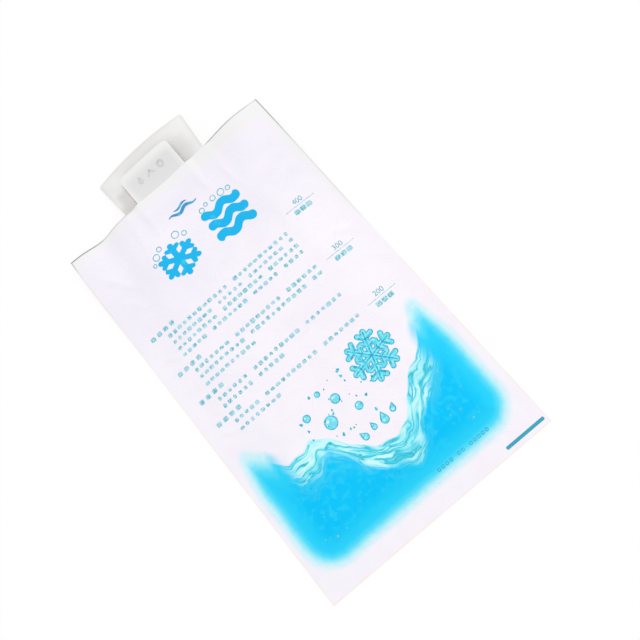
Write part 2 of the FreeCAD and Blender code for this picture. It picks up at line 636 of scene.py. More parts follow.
    def front_level(self, x: Grid, y: Grid) -> Grid:
        """Gives the height of the pouch's upper face, draped over the valve in the top seal.

        Args:
            x: Places across the film.
            y: Places along the film.

        Returns:
            The height at each place.
        """
        flap_lift = self.valve_film + 2.0 * self.valve_clearance
        lift = flap_lift * self.cover(x, self.flap_offset, self.flap_root_width)
        lift = lift + (self.port_gap + self.valve_film) * self.cover(x, self.tab_offset, self.tab_width)
        near_valve = smooth_step((y - self.valve_root_y) / self.valve_fade_length + 1.0)
        seal = self.back_level(x, y) + 2.0 * self.film
        return seal + lift * near_valve + self.pillow_height * self.fill(x, y) + self.slack(x, y)

    def flap_level(self, x: Grid, y: Grid) -> Grid:
        """Gives the height of the flap's underside.

        Args:
            x: Places across the film.
            y: Places along the film.

        Returns:
            The height at each place.
        """
        outward = smooth_step((y - self.top_y) / self.flap_reach)
        across = (x - self.flap_offset) / (self.flap_end_width / 2.0)
        seated = self.back_level(x, y) + self.film + self.valve_clearance
        slope = (self.flap_right_height - self.flap_left_height) / 2.0
        arch = self.flap_middle_height - (self.flap_right_height + self.flap_left_height) / 2.0
        free_end = self.flap_middle_height + slope * across - arch * across**2
        return seated + (free_end - seated) * outward

    def tab_level(self, x: Grid, y: Grid) -> Grid:
        """Gives the height of the tab's underside.

        Args:
            x: Places across the film.
            y: Places along the film.

        Returns:
            The height at each place.
        """
        outward = smooth_step((y - self.top_y) / self.tab_reach)
        across = (x - self.tab_offset) / (self.tab_width / 2.0)
        opened = self.port_end_gap - self.port_gap + self.tab_crown * (1.0 - across**2)
        return self.flap_level(x, y) + self.valve_film + self.port_gap + opened * outward

    def pouch_grid(self, spacing: float) -> tuple[Grid, Grid]:
        """Lays a grid of places over the pouch's outline.

        Args:
            spacing: About how far apart the places are.

        Returns:
            The x and the y of every place.
        """
        columns = round(2.0 * self.half_width / spacing)
        rows = round((self.top_y - self.bottom_y) / spacing)
        steps = (np.linspace(0.0, 1.0, columns + 1), np.linspace(0.0, 1.0, rows + 1))
        across, along = np.meshgrid(*steps, indexing="ij")
        y = self.bottom_y + (self.top_y - self.bottom_y) * along
        left = self.side_x(y, Side.LEFT)
        return left + (self.side_x(y, Side.RIGHT) - left) * across, y

    def strip_grid(
        self, centre: float, widths: Pair, end_y: float, bow: float, corner: float, counts: Steps
    ) -> tuple[Grid, Grid]:
        """Lays a grid of places over one of the valve's films, closer together towards its sides.

        Args:
            centre: The x of its middle.
            widths: Its width in the seal and at its free end.
            end_y: The y of its free end's corners, before they are rounded.
            bow: How far the middle of its free end bows out beyond them.
            corner: Radius of its two rounded corners.
            counts: Number of steps across and along.

        Returns:
            The x and the y of every place.
        """
        turn = np.linspace(-math.pi / 2.0, math.pi / 2.0, counts[0] + 1)
        across, along = np.meshgrid(np.sin(turn), np.linspace(0.0, 1.0, counts[1] + 1), indexing="ij")
        into_corner = np.clip(np.abs(across) * widths[1] / 2.0 - widths[1] / 2.0 + corner, 0.0, corner)
        rounding = corner - np.sqrt(corner**2 - into_corner**2)
        end = end_y + bow * (1.0 - across**2) - rounding
        y = self.valve_root_y + (end - self.valve_root_y) * along
        flare = np.clip((y - self.top_y) / (end_y - self.top_y), 0.0, 1.0)
        half_width = (widths[0] + (widths[1] - widths[0]) * flare) / 2.0
        return centre + across * half_width, y


@dataclass
class MeshDraft:
    """Gathers the corners, faces, bake places and material numbers of one mesh."""

    corners: list[Triple] = field(default_factory=list)
    faces: list[list[int]] = field(default_factory=list)
    places: list[list[Pair]] = field(default_factory=list)
    slots: list[int] = field(default_factory=list)
    wall_room: float = 0.002
    sharp_angle: float = math.radians(50.0)

    def add_face(self, face: list[int], places: list[Pair], slot: int = 0) -> None:
        """Gathers one face.

        Args:
            face: Numbers of its corners.
            places: Where each corner is on the bake map.
            slot: Number of its material.
        """
        self.faces.append(face)
        self.places.append(places)
        self.slots.append(slot)

    def add_film(
        self, x: Grid, y: Grid, under: Grid, over: Grid, rooms: tuple[Box, Box], slot: int = 0
    ) -> None:
        """Gathers a closed film between two heights over a grid.

        Args:
            x: The x of every place of the grid.
            y: The y of every place.
            under: Height of the film's lower face there.
            over: Height of its upper face there.
            rooms: The boxes of its upper and of its lower face on the bake map.
            slot: Number of its material.
        """
        first = len(self.corners)
        wide, long = x.shape
        for z in (over, under):
            self.corners += list(zip(x.ravel().tolist(), y.ravel().tolist(), z.ravel().tolist()))

        def number(column: int, row: int, side: int) -> int:
            """Gives the number of a corner."""
            return first + side * wide * long + column * long + row

        def place(column: int, row: int, side: int, outward: Pair = (0.0, 0.0)) -> Pair:
            """Gives where a corner is on the bake map.

            Args:
                column: Its column in the grid.
                row: Its row in the grid.
                side: 0 for the upper face and 1 for the lower one.
                outward: Which way it lies from its face, for the lower edge of a wall.

            Returns:
                The place.
            """
            left, bottom, right, top = rooms[side]
            across = left + (right - left) * column / (wide - 1) + outward[0] * self.wall_room
            return across, bottom + (top - bottom) * row / (long - 1) + outward[1] * self.wall_room

        for column in range(wide - 1):
            for row in range(long - 1):
                ring = [(column, row), (column + 1, row), (column + 1, row + 1), (column, row + 1)]
                for side, order in enumerate((ring, ring[::-1])):
                    numbers = [number(*step, side) for step in order]
                    self.add_face(numbers, [place(*step, side) for step in order], slot)
        rims = (
            ([(column, 0) for column in range(wide)], (0, -1)),
            ([(wide - 1, row) for row in range(long)], (1, 0)),
            ([(column, long - 1) for column in reversed(range(wide))], (0, 1)),
            ([(0, row) for row in reversed(range(long))], (-1, 0)),
        )
        for rim, outward in rims:
            for start, end in zip(rim, rim[1:]):
                lower = [place(*start, 0, outward), place(*end, 0, outward)]
                self.add_face(
                    [number(*start, 1), number(*end, 1), number(*end, 0), number(*start, 0)],
                    [*lower, place(*end, 0), place(*start, 0)],
                    slot,
                )

    def drape(self, level: Level, lift: float) -> None:
        """Lays every corner on a film.

        Args:
            level: Height of the film.
            lift: How far over the film the corners lie.
        """
        places = np.array(self.corners)
        places[:, 2] = level(places[:, 0], places[:, 1]) + lift
        self.corners = [tuple(place) for place in places.tolist()]

    def to_object(
        self, name: str, materials: Sequence[bpy.types.Material], mapped: bool = True
    ) -> bpy.types.Object:
        """Makes the gathered mesh into an object.

        Args:
            name: The object's name.
            materials: Its materials, in the order of their numbers.
            mapped: True if it brings its own bake map.

        Returns:
            The object, linked to the scene.
        """
        mesh = bpy.data.meshes.new(name)
        mesh.from_pydata([tuple(part * MM for part in corner) for corner in self.corners], [], self.faces)
        for material in materials:
            mesh.materials.append(material)
        mesh.polygons.foreach_set("material_index", self.slots)
        mesh.polygons.foreach_set("use_smooth", [True] * len(self.faces))
        if mapped:
            places = [place for face in self.places for place in face]
            layer = mesh.uv_layers.new(name="OFBake")
            layer.data.foreach_set("uv", [part for place in places for part in place])
        mesh.validate()
        mesh.set_sharp_from_angle(angle=self.sharp_angle)
        made = bpy.data.objects.new(name, mesh)
        bpy.context.scene.collection.objects.link(made)
        return made


class Shape:
    """A printed or raised shape: its gap is below 0 inside it, and its box holds it."""

    def gap(self, x: Grid, y: Grid) -> Grid:
        """Gives the distance from the shape's outline, negative inside."""
        raise NotImplementedError

    def box(self) -> Box:
        """Gives a box that holds the shape."""
        raise NotImplementedError


@dataclass(frozen=True)
class Plate(Shape):
    """Rectangle with rounded corners."""

    centre: Pair
    width: float
    height: float
    corner: float

    def gap(self, x: Grid, y: Grid) -> Grid:
        """Gives the distance from the outline.

        Args:
            x: Places across the film.
            y: Places along the film.

        Returns:
            The distance at each place, negative inside the shape.
        """
        beside = np.abs(x - self.centre[0]) - self.width / 2.0 + self.corner
        beyond = np.abs(y - self.centre[1]) - self.height / 2.0 + self.corner
        outside = np.hypot(np.maximum(beside, 0.0), np.maximum(beyond, 0.0))
        return outside + np.minimum(np.maximum(beside, beyond), 0.0) - self.corner

    def box(self) -> Box:
        """Gives the holding box."""
        (x, y), beside, beyond = self.centre, self.width / 2.0, self.height / 2.0
        return x - beside, y - beyond, x + beside, y + beyond


@dataclass(frozen=True)
class Disc(Shape):
    """Full disc."""

    centre: Pair
    radius: float

    def gap(self, x: Grid, y: Grid) -> Grid:
        """Gives the distance from the outline."""
        return np.hypot(x - self.centre[0], y - self.centre[1]) - self.radius

    def box(self) -> Box:
        """Gives the holding box."""
        (x, y), reach = self.centre, self.radius
        return x - reach, y - reach, x + reach, y + reach


@dataclass(frozen=True)
class Outline(Shape):
    """Line along another shape's outline."""

    shape: Shape
    line: float

    def gap(self, x: Grid, y: Grid) -> Grid:
        """Gives the distance from the line's own outline."""
        return np.abs(self.shape.gap(x, y)) - self.line / 2.0

    def box(self) -> Box:
        """Gives the holding box."""
        left, bottom, right, top = self.shape.box()
        return left - self.line, bottom - self.line, right + self.line, top + self.line


@dataclass(frozen=True)
class Stroke(Shape):
    """Straight stroke with rounded ends."""

    start: Pair
    end: Pair
    width: float

    def gap(self, x: Grid, y: Grid) -> Grid:
        """Gives the distance from the outline.

        Args:
            x: Places across the film.
            y: Places along the film.

        Returns:
            The distance at each place, negative inside the shape.
        """
        run_x, run_y = self.end[0] - self.start[0], self.end[1] - self.start[1]
        along = ((x - self.start[0]) * run_x + (y - self.start[1]) * run_y) / (run_x**2 + run_y**2)
        along = np.clip(along, 0.0, 1.0)
        beside = np.hypot(x - self.start[0] - along * run_x, y - self.start[1] - along * run_y)
        return beside - self.width / 2.0

    def box(self) -> Box:
        """Gives the holding box.

        Returns:
            The box.
        """
        low = [min(a, b) - self.width for a, b in zip(self.start, self.end)]
        high = [max(a, b) + self.width for a, b in zip(self.start, self.end)]
        return (*low, *high)


@dataclass(frozen=True)
class WavyBar(Shape):
    """Level bar that rises and falls as a wave, thinner towards its ends where it tapers."""

    centre: Pair
    length: float
    thickness: float
    wave_height: float
    wave_length: float
    phase: float = 0.0
    taper: float = 0.0

    def gap(self, x: Grid, y: Grid) -> Grid:
        """Gives the distance from the outline.

        Args:
            x: Places across the film.
            y: Places along the film.

        Returns:
            The distance at each place, negative inside the shape.
        """
        reach = (self.length - self.thickness) / 2.0
        offset = x - self.centre[0]
        held = np.clip(offset, -reach, reach)
        turn = 2.0 * math.pi / self.wave_length
        level = self.centre[1] + self.wave_height * np.sin(turn * held + self.phase)
        steep = 1.0 / np.sqrt(1.0 + (self.wave_height * turn * np.cos(turn * held + self.phase)) ** 2)
        half = self.thickness / 2.0 * (1.0 - self.taper * (held / reach) ** 2)
        return np.hypot(offset - held, (y - level) * steep) - half

    def box(self) -> Box:
        """Gives the holding box.

        Returns:
            The box.
        """
        tall = self.wave_height + self.thickness
        x, y = self.centre
        return x - self.length / 2.0, y - tall, x + self.length / 2.0, y + tall


@dataclass(frozen=True)
class Drop(Shape):
    """Drop with its point upward, or leaning by an angle."""

    centre: Pair
    radius: float
    lean: float = 0.0

    def gap(self, x: Grid, y: Grid) -> Grid:
        """Gives about the distance from the outline.

        Args:
            x: Places across the film.
            y: Places along the film.

        Returns:
            The distance at each place, negative inside the shape.
        """
        # In radii, the point is 2 from the centre and its sides touch the circle half a radius up.
        cosine, sine = math.cos(self.lean), math.sin(self.lean)
        along = ((y - self.centre[1]) * cosine + (x - self.centre[0]) * sine) / self.radius
        across = ((x - self.centre[0]) * cosine - (y - self.centre[1]) * sine) / self.radius
        round_part = np.hypot(across, along) - 1.0
        cone = np.abs(across) * math.cos(math.pi / 6.0) + (along - 2.0) * 0.5
        pointed = np.where(along > 0.5, np.maximum(cone, 0.5 - along), round_part)
        return pointed * self.radius

    def box(self) -> Box:
        """Gives the holding box."""
        (x, y), reach = self.centre, 2.1 * self.radius
        return x - reach, y - reach, x + reach, y + reach


@dataclass(frozen=True)
class Crystal(Shape):
    """Six-armed ice crystal with pairs of twigs on each arm.

    Each twig gives how far out it grows and how long it is, as shares of the reach.
    """

    centre: Pair
    reach: float
    line: float
    twigs: tuple[Pair, ...]
    turn: float = 0.0
    stretch: float = 1.0
    twig_line: float = 0.85

    def gap(self, x: Grid, y: Grid) -> Grid:
        """Gives the distance from the outline.

        Args:
            x: Places across the film.
            y: Places along the film.

        Returns:
            The distance at each place, negative inside the shape.
        """
        across, along = (x - self.centre[0]) / self.stretch, y - self.centre[1]
        sixth = math.pi / 3.0
        angle = (np.arctan2(along, across) - self.turn + sixth / 2.0) % sixth - sixth / 2.0
        out = np.hypot(across, along)
        folded = (out * np.cos(angle), np.abs(out * np.sin(angle)))
        arm_end = self.reach - self.line / 2.0
        strokes = [Stroke((0.0, 0.0), (arm_end, 0.0), self.line)]
        for share, length in self.twigs:
            root = share * self.reach
            tip = (root + length * self.reach * math.cos(sixth), length * self.reach * math.sin(sixth))
            strokes.append(Stroke((root, 0.0), tip, self.line * self.twig_line))
        return np.minimum.reduce([stroke.gap(*folded) for stroke in strokes])

    def box(self) -> Box:
        """Gives the holding box.

        Returns:
            The box.
        """
        wide = self.reach * self.stretch
        x, y = self.centre
        return x - wide, y - self.reach, x + wide, y + self.reach


@dataclass
class ShapeLayer:
    """Shapes that lie on a curved film, cut out of small cells so that they follow it."""

    name: str
    level: Level
    lift: float
    cell: float = 0.5
    depth: float = 0.0

    def build(self, shapes: Sequence[Shape], material: bpy.types.Material) -> bpy.types.Object:
        """Makes one object of all the shapes.

        Args:
            shapes: The shapes.
            material: Their ink or film.

        Returns:
            The object.
        """
        draft = MeshDraft()
        for shape in shapes:
            self._cut(draft, shape)
        draft.drape(self.level, self.lift)
        if self.depth:
            self._add_walls(draft)
        return draft.to_object(self.name, [material], mapped=False)

    def _cut(self, draft: MeshDraft, shape: Shape) -> None:
        """Cuts one shape out of its own grid of cells.

        Args:
            draft: The mesh that gathers it.
            shape: The shape.
        """
        left, bottom, right, top = shape.box()
        xs = np.arange(left - self.cell, right + 2.0 * self.cell, self.cell)
        ys = np.arange(bottom - self.cell, top + 2.0 * self.cell, self.cell)
        gaps = shape.gap(*np.meshgrid(xs, ys, indexing="ij"))
        numbers: dict[tuple[Steps, Steps], int] = {}

        def corner(first: Steps, second: Steps) -> int:
            """Gives the corner where the outline crosses between two places of the grid.

            Args:
                first: Steps to the one place.
                second: Steps to the other, or to the same for a corner right there.

            Returns:
                The corner's number.
            """
            key = (min(first, second), max(first, second))
            if key not in numbers:
                (a, b), (c, d) = key
                span = gaps[a, b] - gaps[c, d]
                share = gaps[a, b] / span if first != second else 0.0
                x = xs[a] + (xs[c] - xs[a]) * share
                y = ys[b] + (ys[d] - ys[b]) * share
                numbers[key] = len(draft.corners)
                draft.corners.append((float(x), float(y), 0.0))
            return numbers[key]

        inside = gaps < 0.0
        touched = inside[:-1, :-1] | inside[1:, :-1] | inside[1:, 1:] | inside[:-1, 1:]
        for column, row in np.argwhere(touched).tolist():
            ring = [(column, row), (column + 1, row), (column + 1, row + 1), (column, row + 1)]
            face: list[int] = []
            for here, following in zip(ring, ring[1:] + ring[:1]):
                if inside[here]:
                    face.append(corner(here, here))
                if inside[here] != inside[following]:
                    face.append(corner(here, following))
            if len(face) > 2:
                draft.add_face(face, [])

    def _add_walls(self, draft: MeshDraft) -> None:
        """Closes the sides of raised shapes down to the film.

        Args:
            draft: The mesh with the shapes' tops.
        """
        edges = {(a, b) for face in draft.faces for a, b in zip(face, face[1:] + face[:1])}
        rim = [(a, b) for a, b in edges if (b, a) not in edges]
        lower: dict[int, int] = {}
        for number in sorted({end for edge in rim for end in edge}):
            x, y, z = draft.corners[number]
            lower[number] = len(draft.corners)
            draft.corners.append((x, y, z - self.depth))
        for a, b in sorted(rim):
            draft.add_face([b, a, lower[a], lower[b]], [])


@dataclass(frozen=True)
class FilmPlace:
    """A place on the front film as its material's nodes know it, with millimetres from each edge."""

    graph: Graph
    vector: Value
    x: Value
    y: Value
    from_left: Value
    from_right: Value
    from_top: Value
    from_bottom: Value

    @classmethod
    def of(cls, graph: Graph, form: PackForm) -> "FilmPlace":
        """Adds the nodes that find the place.

        Args:
            graph: The material's nodes.
            form: The films' sizes.

        Returns:
            The place.
        """
        vector = graph.millimetres()
        x, y, _ = vector.axes()
        curled = ((y - form.curl_start_y) / form.curl_length).at_least(0.0)
        from_left = x + form.half_width - curled * curled * form.left_draw_in
        from_right = form.half_width - x - curled * curled * form.right_draw_in
        return cls(graph, vector, x, y, from_left, from_right, form.top_y - y, y - form.bottom_y)


@dataclass(frozen=True)
class FilmTone:
    """Colour of the bare film: darker and cooler towards its top left as painted shade, rosy in patches,
    and plain beside its edges.

    The plain strip runs along the top edge, where it is wider to the left, and down the right side.
    """

    painted_shade_to_top: Fade = Fade(96.0, 26.0, 0.7)
    painted_shade_to_left: float = 0.3 / 140.0
    cooler_patches: Mottle = Mottle(17.0, 1.5, detail=3.0)
    rosy_patches: Mottle = Mottle(12.0, 0.55, (0.48, 0.66), detail=3.0)
    strip_edge: Pair = (9.0, 2.0)
    strip_unsteadiness: Mottle = Mottle(30.0, 9.0)
    wider_to_left: Fade = Fade(70.0, 20.0, 6.0)
    narrower_downwards: Fade = Fade(55.0, 115.0, 9.0)
    side_inset: float = 1.0

    def colour(self, place: FilmPlace) -> Value:
        """Colours the bare film.

        Args:
            place: The place on the film.

        Returns:
            The colour.
        """
        graph = place.graph
        # Painted shade: darker and cooler towards the top and the left, with random patches over it.
        painted_shade_and_patches = self.painted_shade_to_top.along(place.from_top) + place.from_right * self.painted_shade_to_left
        painted_shade_and_patches = painted_shade_and_patches + self.cooler_patches.around(place.vector)
        lilac = graph.blend(painted_shade_and_patches.rise(0.0, 1.0), Tint.FILM, Tint.FILM_COOL)
        lilac = graph.blend(self.rosy_patches.over(place.vector), lilac, Tint.FILM_ROSE)
        from_top = place.from_top - self.wider_to_left.along(place.from_right)
        from_side = place.from_right + self.narrower_downwards.along(place.from_top) + self.side_inset
        strip = from_top.at_most(from_side) + self.strip_unsteadiness.around(place.vector)
        return graph.blend(strip.rise(*self.strip_edge), lilac, Tint.MARGIN)


@dataclass(frozen=True)
class FilmEdges:
    """Tones of the film's cut edge: a grey line along the top and near the top corners, which is painted
    shadow of the edge as well as the edge's own grey, and warm lower down.
    """

    grey_width: Pair = (1.0, 0.45)
    grey_patches: Mottle = Mottle(19.0, 0.25, (0.36, 0.58))
    grey_least: float = 0.35
    grey_on_top: tuple[Fade, ...] = (
        Fade(-42.0, -60.0, 0.7),
        Fade(10.0, 30.0, 0.2),
        Fade(58.0, 68.0, -0.4),
    )
    grey_on_right: tuple[Fade, ...] = (Fade(0.0, 36.0, 0.22), Fade(62.0, 92.0, 0.58))
    grey_on_left: tuple[Fade, ...] = (Fade(50.0, 68.0, 0.15), Fade(92.0, 99.0, 0.45))
    right_of_flap: Pair = (28.0, 33.0)
    left_of_tab: Pair = (-17.0, -24.0)
    warm_width: Pair = (0.9, 0.3)
    warm_patches: Mottle = Mottle(9.0, 0.5, (0.4, 0.62))
    warm_least: float = 0.35
    warm_on_left: Pair = (93.0, 78.0)
    warm_on_right: Pair = (20.0, -50.0)

    def colour(self, form: PackForm, place: FilmPlace, film: Value) -> Value:
        """Lays both tones over the film's edge.

        Args:
            form: The films' sizes.
            place: The place on the film.
            film: The printed film's colour.

        Returns:
            The colour with the tones.
        """
        # The grey line at the edge is painted shadow, partly the edge's own grey.
        edged = place.graph.blend(self._grey(form, place), film, Tint.CUT_EDGE_AND_SHADOW)
        return place.graph.blend(self._warm(place), edged, Tint.WARM_EDGE)

    def _grey(self, form: PackForm, place: FilmPlace) -> Value:
        """Gives how much of the grey edge line shows, painted shadow in part, which the valve covers in
        the middle of the top edge.

        Args:
            form: The films' sizes.
            place: The place on the film.

        Returns:
            The share.
        """
        on_top = self.grey_patches.over(place.vector) + total(self.grey_on_top, place.x) + self.grey_least
        right_of_flap = (place.x - form.flap_offset).rise(*self.right_of_flap)
        left_of_tab = (place.x - form.tab_offset).rise(*self.left_of_tab)
        grey = place.from_top.rise(*self.grey_width) * on_top * right_of_flap.at_least(left_of_tab)
        on_right = place.from_right.rise(*self.grey_width) * total(self.grey_on_right, place.y)
        on_left = place.from_left.rise(*self.grey_width) * total(self.grey_on_left, place.y)
        return grey.at_least(on_right).at_least(on_left)

    def _warm(self, place: FilmPlace) -> Value:
        """Gives how much of the warm tone shows.

        Args:
            place: The place on the film.

        Returns:
            The share.
        """
        warm = place.from_left.rise(*self.warm_width) * place.y.rise(*self.warm_on_left)
        warm = warm.at_least(place.from_right.rise(*self.warm_width) * place.y.rise(*self.warm_on_right))
        warm = warm.at_least(place.from_bottom.rise(*self.warm_width))
        return warm * (self.warm_patches.over(place.vector) + self.warm_least)


@dataclass(frozen=True)
class WaterField:
    """Layout of the printed picture: a soft-edged blue field with a wave along its top.

    Each ripple of the wave gives its height, its turn per millimetre and where it starts.
    """

    left: float = -63.1
    right: float = 60.8
    bottom: float = -113.8
    bottom_slope: float = 0.01
    corner: float = 15.0
    drawn_in: Fade = Fade(-66.0, -38.0, 4.0)
    trough: float = -86.0
    rises: tuple[Fade, ...] = (
        Fade(4.0, -28.0, 25.0),
        Fade(-43.5, -61.0, 12.3),
        Fade(6.0, 50.0, 28.0),
        Fade(43.0, 58.0, 12.3),
    )
    ripples: tuple[Triple, ...] = ((1.1, 0.23, 1.1), (0.5, 0.61, 0.0))

    def cover(self, x: Value, y: Value) -> Value:
        """Gives how far inside the field's soft rounded outline a place is.

        Args:
            x: Millimetres across the film.
            y: Millimetres along the film.

        Returns:
            The distance inside the outline, negative outside it.
        """
        middle = (self.left + self.right) / 2.0
        reach = (self.right - self.left) / 2.0 - self.corner
        beside = (abs(x - middle) + self.drawn_in.along(y) - reach).at_least(0.0)
        below = (x * self.bottom_slope + (self.bottom + self.corner) - y).at_least(0.0)
        return self.corner - (beside * beside + below * below).math("SQRT")

    def water_line(self, x: Value) -> Value:
        """Gives the height of the wave across the film."""
        ripples = ((x * turn + start).sine() * height for height, turn, start in self.ripples)
        return sum(ripples, total(self.rises, x)) + self.trough


@dataclass(frozen=True)
class WaterInk:
    """Inks of the picture: a glow round the field, bubbles in deep water, and foam under the wave.

    The shades give a colour at millimetres inside the outermost glow. Each kind of bubble gives how
    far apart they are, their radius as a share of that, and how strongly they show.
    """

    layout: WaterField = WaterField()
    outer_reach: float = 6.0
    outline_unsteadiness: Mottle = Mottle(14.0, 1.5)
    shades: tuple[tuple[float, Tint], ...] = (
        (4.0, Tint.FIELD_HALO),
        (5.7, Tint.FIELD_RIM),
        (7.7, Tint.FIELD_GLOW),
        (10.2, Tint.LIGHT_BLUE),
        (15.5, Tint.CLEAR_BLUE),
        (20.0, Tint.DEEP_BLUE),
    )
    glow_end: float = -1.8
    warp: Mottle = Mottle(11.0, 9.0, detail=3.0, distortion=1.2)
    tips: Pair = (42.0, 53.0)
    tip_depth: float = 0.43
    tip_inset: float = 0.8
    middle_depth: float = 12.0
    crisp_warp: float = 0.25
    crisp_edge: Pair = (-0.5, 0.7)
    soft_depth: float = 0.5
    soft_warp: float = 0.1
    soft_edge: Pair = (-5.0, -1.8)
    light_patches: Mottle = Mottle(3.6, 0.55, (0.48, 0.66), detail=4.0)
    bubbles: tuple[Triple, ...] = ((7.5, 0.12, 0.4), (3.4, 0.19, 0.26))
    bubble_groups: Pair = (0.46, 0.6)
    bubble_group_size: float = 2.6
    bubble_depth: Pair = (0.6, 0.85)
    bubble_rim: float = 2.4
    bubble_core: float = 0.4
    foam: tuple[tuple[float, Tint], ...] = (
        (0.34, Tint.FOAM),
        (0.43, Tint.PALE_CYAN),
        (0.48, Tint.CYAN),
        (0.505, Tint.WAVE_LINE),
        (0.53, Tint.PALE_CYAN),
        (0.6, Tint.FOAM),
        (0.7, Tint.CYAN),
    )
    streaks: Mottle = Mottle(1.0, detail=4.0, distortion=1.1)
    streak_scale: Pair = (0.042, 0.17)
    streak_warp: Pair = (0.03, 0.5)
    band: float = 14.0
    band_swell: Mottle = Mottle(26.0, 1.6)
    band_least: float = 0.2
    band_edge: Pair = (2.0, -5.0)
    band_ends: Pair = (50.0, 39.0)
    drift_depth: Pair = (11.0, 0.0)
    drifts: Fade = Fade(0.42, 0.6, 0.5)

    def colour(self, place: FilmPlace, film: Value) -> Value:
        """Lays the picture's inks over the film.

        Args:
            place: The place on the film.
            film: The bare film's colour.

        Returns:
            The colour with the inks.
        """
        warp = self.warp.around(place.vector)
        below = self.layout.water_line(place.x) - place.y
        cover = self.layout.cover(place.x, place.y) + self.outline_unsteadiness.around(place.vector)
        in_tips = abs(place.x).rise(*self.tips)
        in_middle = 1.0 - in_tips
        inside = cover.at_most(below * self.tip_depth - self.tip_inset + in_middle * self.middle_depth)
        deep = self._deep_water(place, (inside + self.outer_reach) / self.shades[-1][0])
        water = self._with_foam(place, deep, below, warp, in_middle)
        crisp = (below + warp * self.crisp_warp).rise(*self.crisp_edge)
        soft = (below * self.soft_depth + warp * self.soft_warp).rise(*self.soft_edge)
        shown = cover.rise(-self.outer_reach, self.glow_end) * (crisp * in_middle + soft * in_tips)
        return place.graph.blend(shown, film, water)

    def _deep_water(self, place: FilmPlace, depth: Value) -> Value:
        """Colours the field from its glow inwards, with light patches and bubbles.

        Args:
            place: The place on the film.
            depth: How far inside the outermost glow the place is, as a share of the last shade's.

        Returns:
            The colour.
        """
        graph = place.graph
        stops = [(inside / self.shades[-1][0], tint) for inside, tint in self.shades]
        deep = graph.node("ShaderNodeValToRGB", {"stops": stops}, {0: depth})
        deep = graph.blend(self.light_patches.over(place.vector) * depth, deep, Tint.LIGHT_BLUE)
        for pitch, radius, strength in self.bubbles:
            inputs = {"Vector": place.vector, "Scale": 1.0 / pitch}
            centre = graph.node("ShaderNodeTexVoronoi", inputs=inputs)
            groups = Mottle(self.bubble_group_size * pitch, strength, self.bubble_groups)
            there = groups.over(place.vector) * depth.rise(*self.bubble_depth)
            rim = centre.rise(self.bubble_rim * radius, radius)
            core = centre.rise(radius, self.bubble_core * radius)
            deep = graph.blend(rim * there, deep, Tint.DASH_BLUE)
            deep = graph.blend(core * there, deep, Tint.PALE_CYAN)
        return deep

    def _with_foam(
        self, place: FilmPlace, deep: Value, below: Value, warp: Value, in_middle: Value
    ) -> Value:
        """Lays a band of foam under the wave, and lets a little of it drift down.

        Args:
            place: The place on the film.
            deep: The deep water's colour.
            below: Millimetres under the wave's line.
            warp: How far the foam is pushed about.
            in_middle: 1 between the field's two tips and 0 in them.

        Returns:
            The colour with the foam.
        """
        graph = place.graph
        across = place.x * self.streak_scale[0] + warp * self.streak_warp[0]
        down = (below + warp * self.streak_warp[1]) * self.streak_scale[1]
        streak = self.streaks.over(graph.vector(across, down))
        foam = graph.node("ShaderNodeValToRGB", {"stops": self.foam}, {0: streak})
        thickness = (self.band_swell.over(place.vector) + self.band_least) * self.band
        drift = (below - thickness).rise(*self.drift_depth) * self.drifts.along(streak)
        drifted = graph.blend(drift * in_middle, deep, Tint.CYAN)
        in_band = (below + warp - thickness).rise(*self.band_edge) * abs(place.x).rise(*self.band_ends)
        return graph.blend(in_band, drifted, foam)


@dataclass(frozen=True)
class PrintedFilmFinish:
    """Thin printed film: its colour, the ribs of its seals, and its crinkles and small folds."""

    tone: FilmTone = FilmTone()
    ink: WaterInk = WaterInk()
    edges: FilmEdges = FilmEdges()
    seal_edge: float = 0.6
    rib_pitch: float = 1.3
    rib_height: float = 0.07
    crinkles: tuple[Mottle, Mottle] = (Mottle(7.0, 0.8, detail=3.0, distortion=0.6), Mottle(0.9, 0.12))
    folds: Mottle = Mottle(17.0, distortion=1.4)
    fold_width: float = 0.035
    fold_height: float = 0.35
    relief_depth: float = 0.16
    roughness: float = 0.36
    dull_patches: Mottle = Mottle(24.0, 0.08)
    seal_dullness: float = 0.05
    ior: float = 1.48

    def make(self, form: PackForm) -> bpy.types.Material:
        """Makes the printed film's material.

        Args:
            form: The films' sizes.

        Returns:
            The material.
        """
        material = bpy.data.materials.new("printed_film")
        graph = Graph(material)
        place = FilmPlace.of(graph, form)
        film = self.ink.colour(place, self.tone.colour(place))
        seal = self._seal(form, place)
        rough = self.dull_patches.over(place.vector) + seal * self.seal_dullness + self.roughness
        graph.surface(
            Base_Color=self.edges.colour(form, place, film),
            Roughness=rough,
            Normal=graph.relief(self._height(place, seal), self.relief_depth),
            IOR=self.ior,
        )
        return material

    def _seal(self, form: PackForm, place: FilmPlace) -> Value:
        """Gives where the two films are sealed to each other.

        Args:
            form: The films' sizes.
            place: The place on the film.

        Returns:
            1 on the seals and 0 between them.
        """
        edges = (
            (place.from_left.at_most(place.from_right), form.side_seal),
            (place.from_top, form.top_seal),
            (place.from_bottom, form.bottom_seal),
        )
        side, top, bottom = (
            distance.rise(width + self.seal_edge, width - self.seal_edge) for distance, width in edges
        )
        return side.at_least(top).at_least(bottom)

    def _height(self, place: FilmPlace, seal: Value) -> Value:
        """Gives the height of the film's fine relief.

        Args:
            place: The place on the film.
            seal: 1 on the seals and 0 between them.

        Returns:
            The height, for a relief.
        """
        turn = math.tau / self.rib_pitch
        ribs = ((place.x + place.y) * turn).sine() * ((place.x - place.y) * turn).sine()
        coarse, fine = (crinkle.over(place.vector) for crinkle in self.crinkles)
        folds = abs(self.folds.around(place.vector)).rise(self.fold_width, 0.0) * self.fold_height
        return coarse + fine + folds * (1.0 - seal) + ribs * seal * self.rib_height


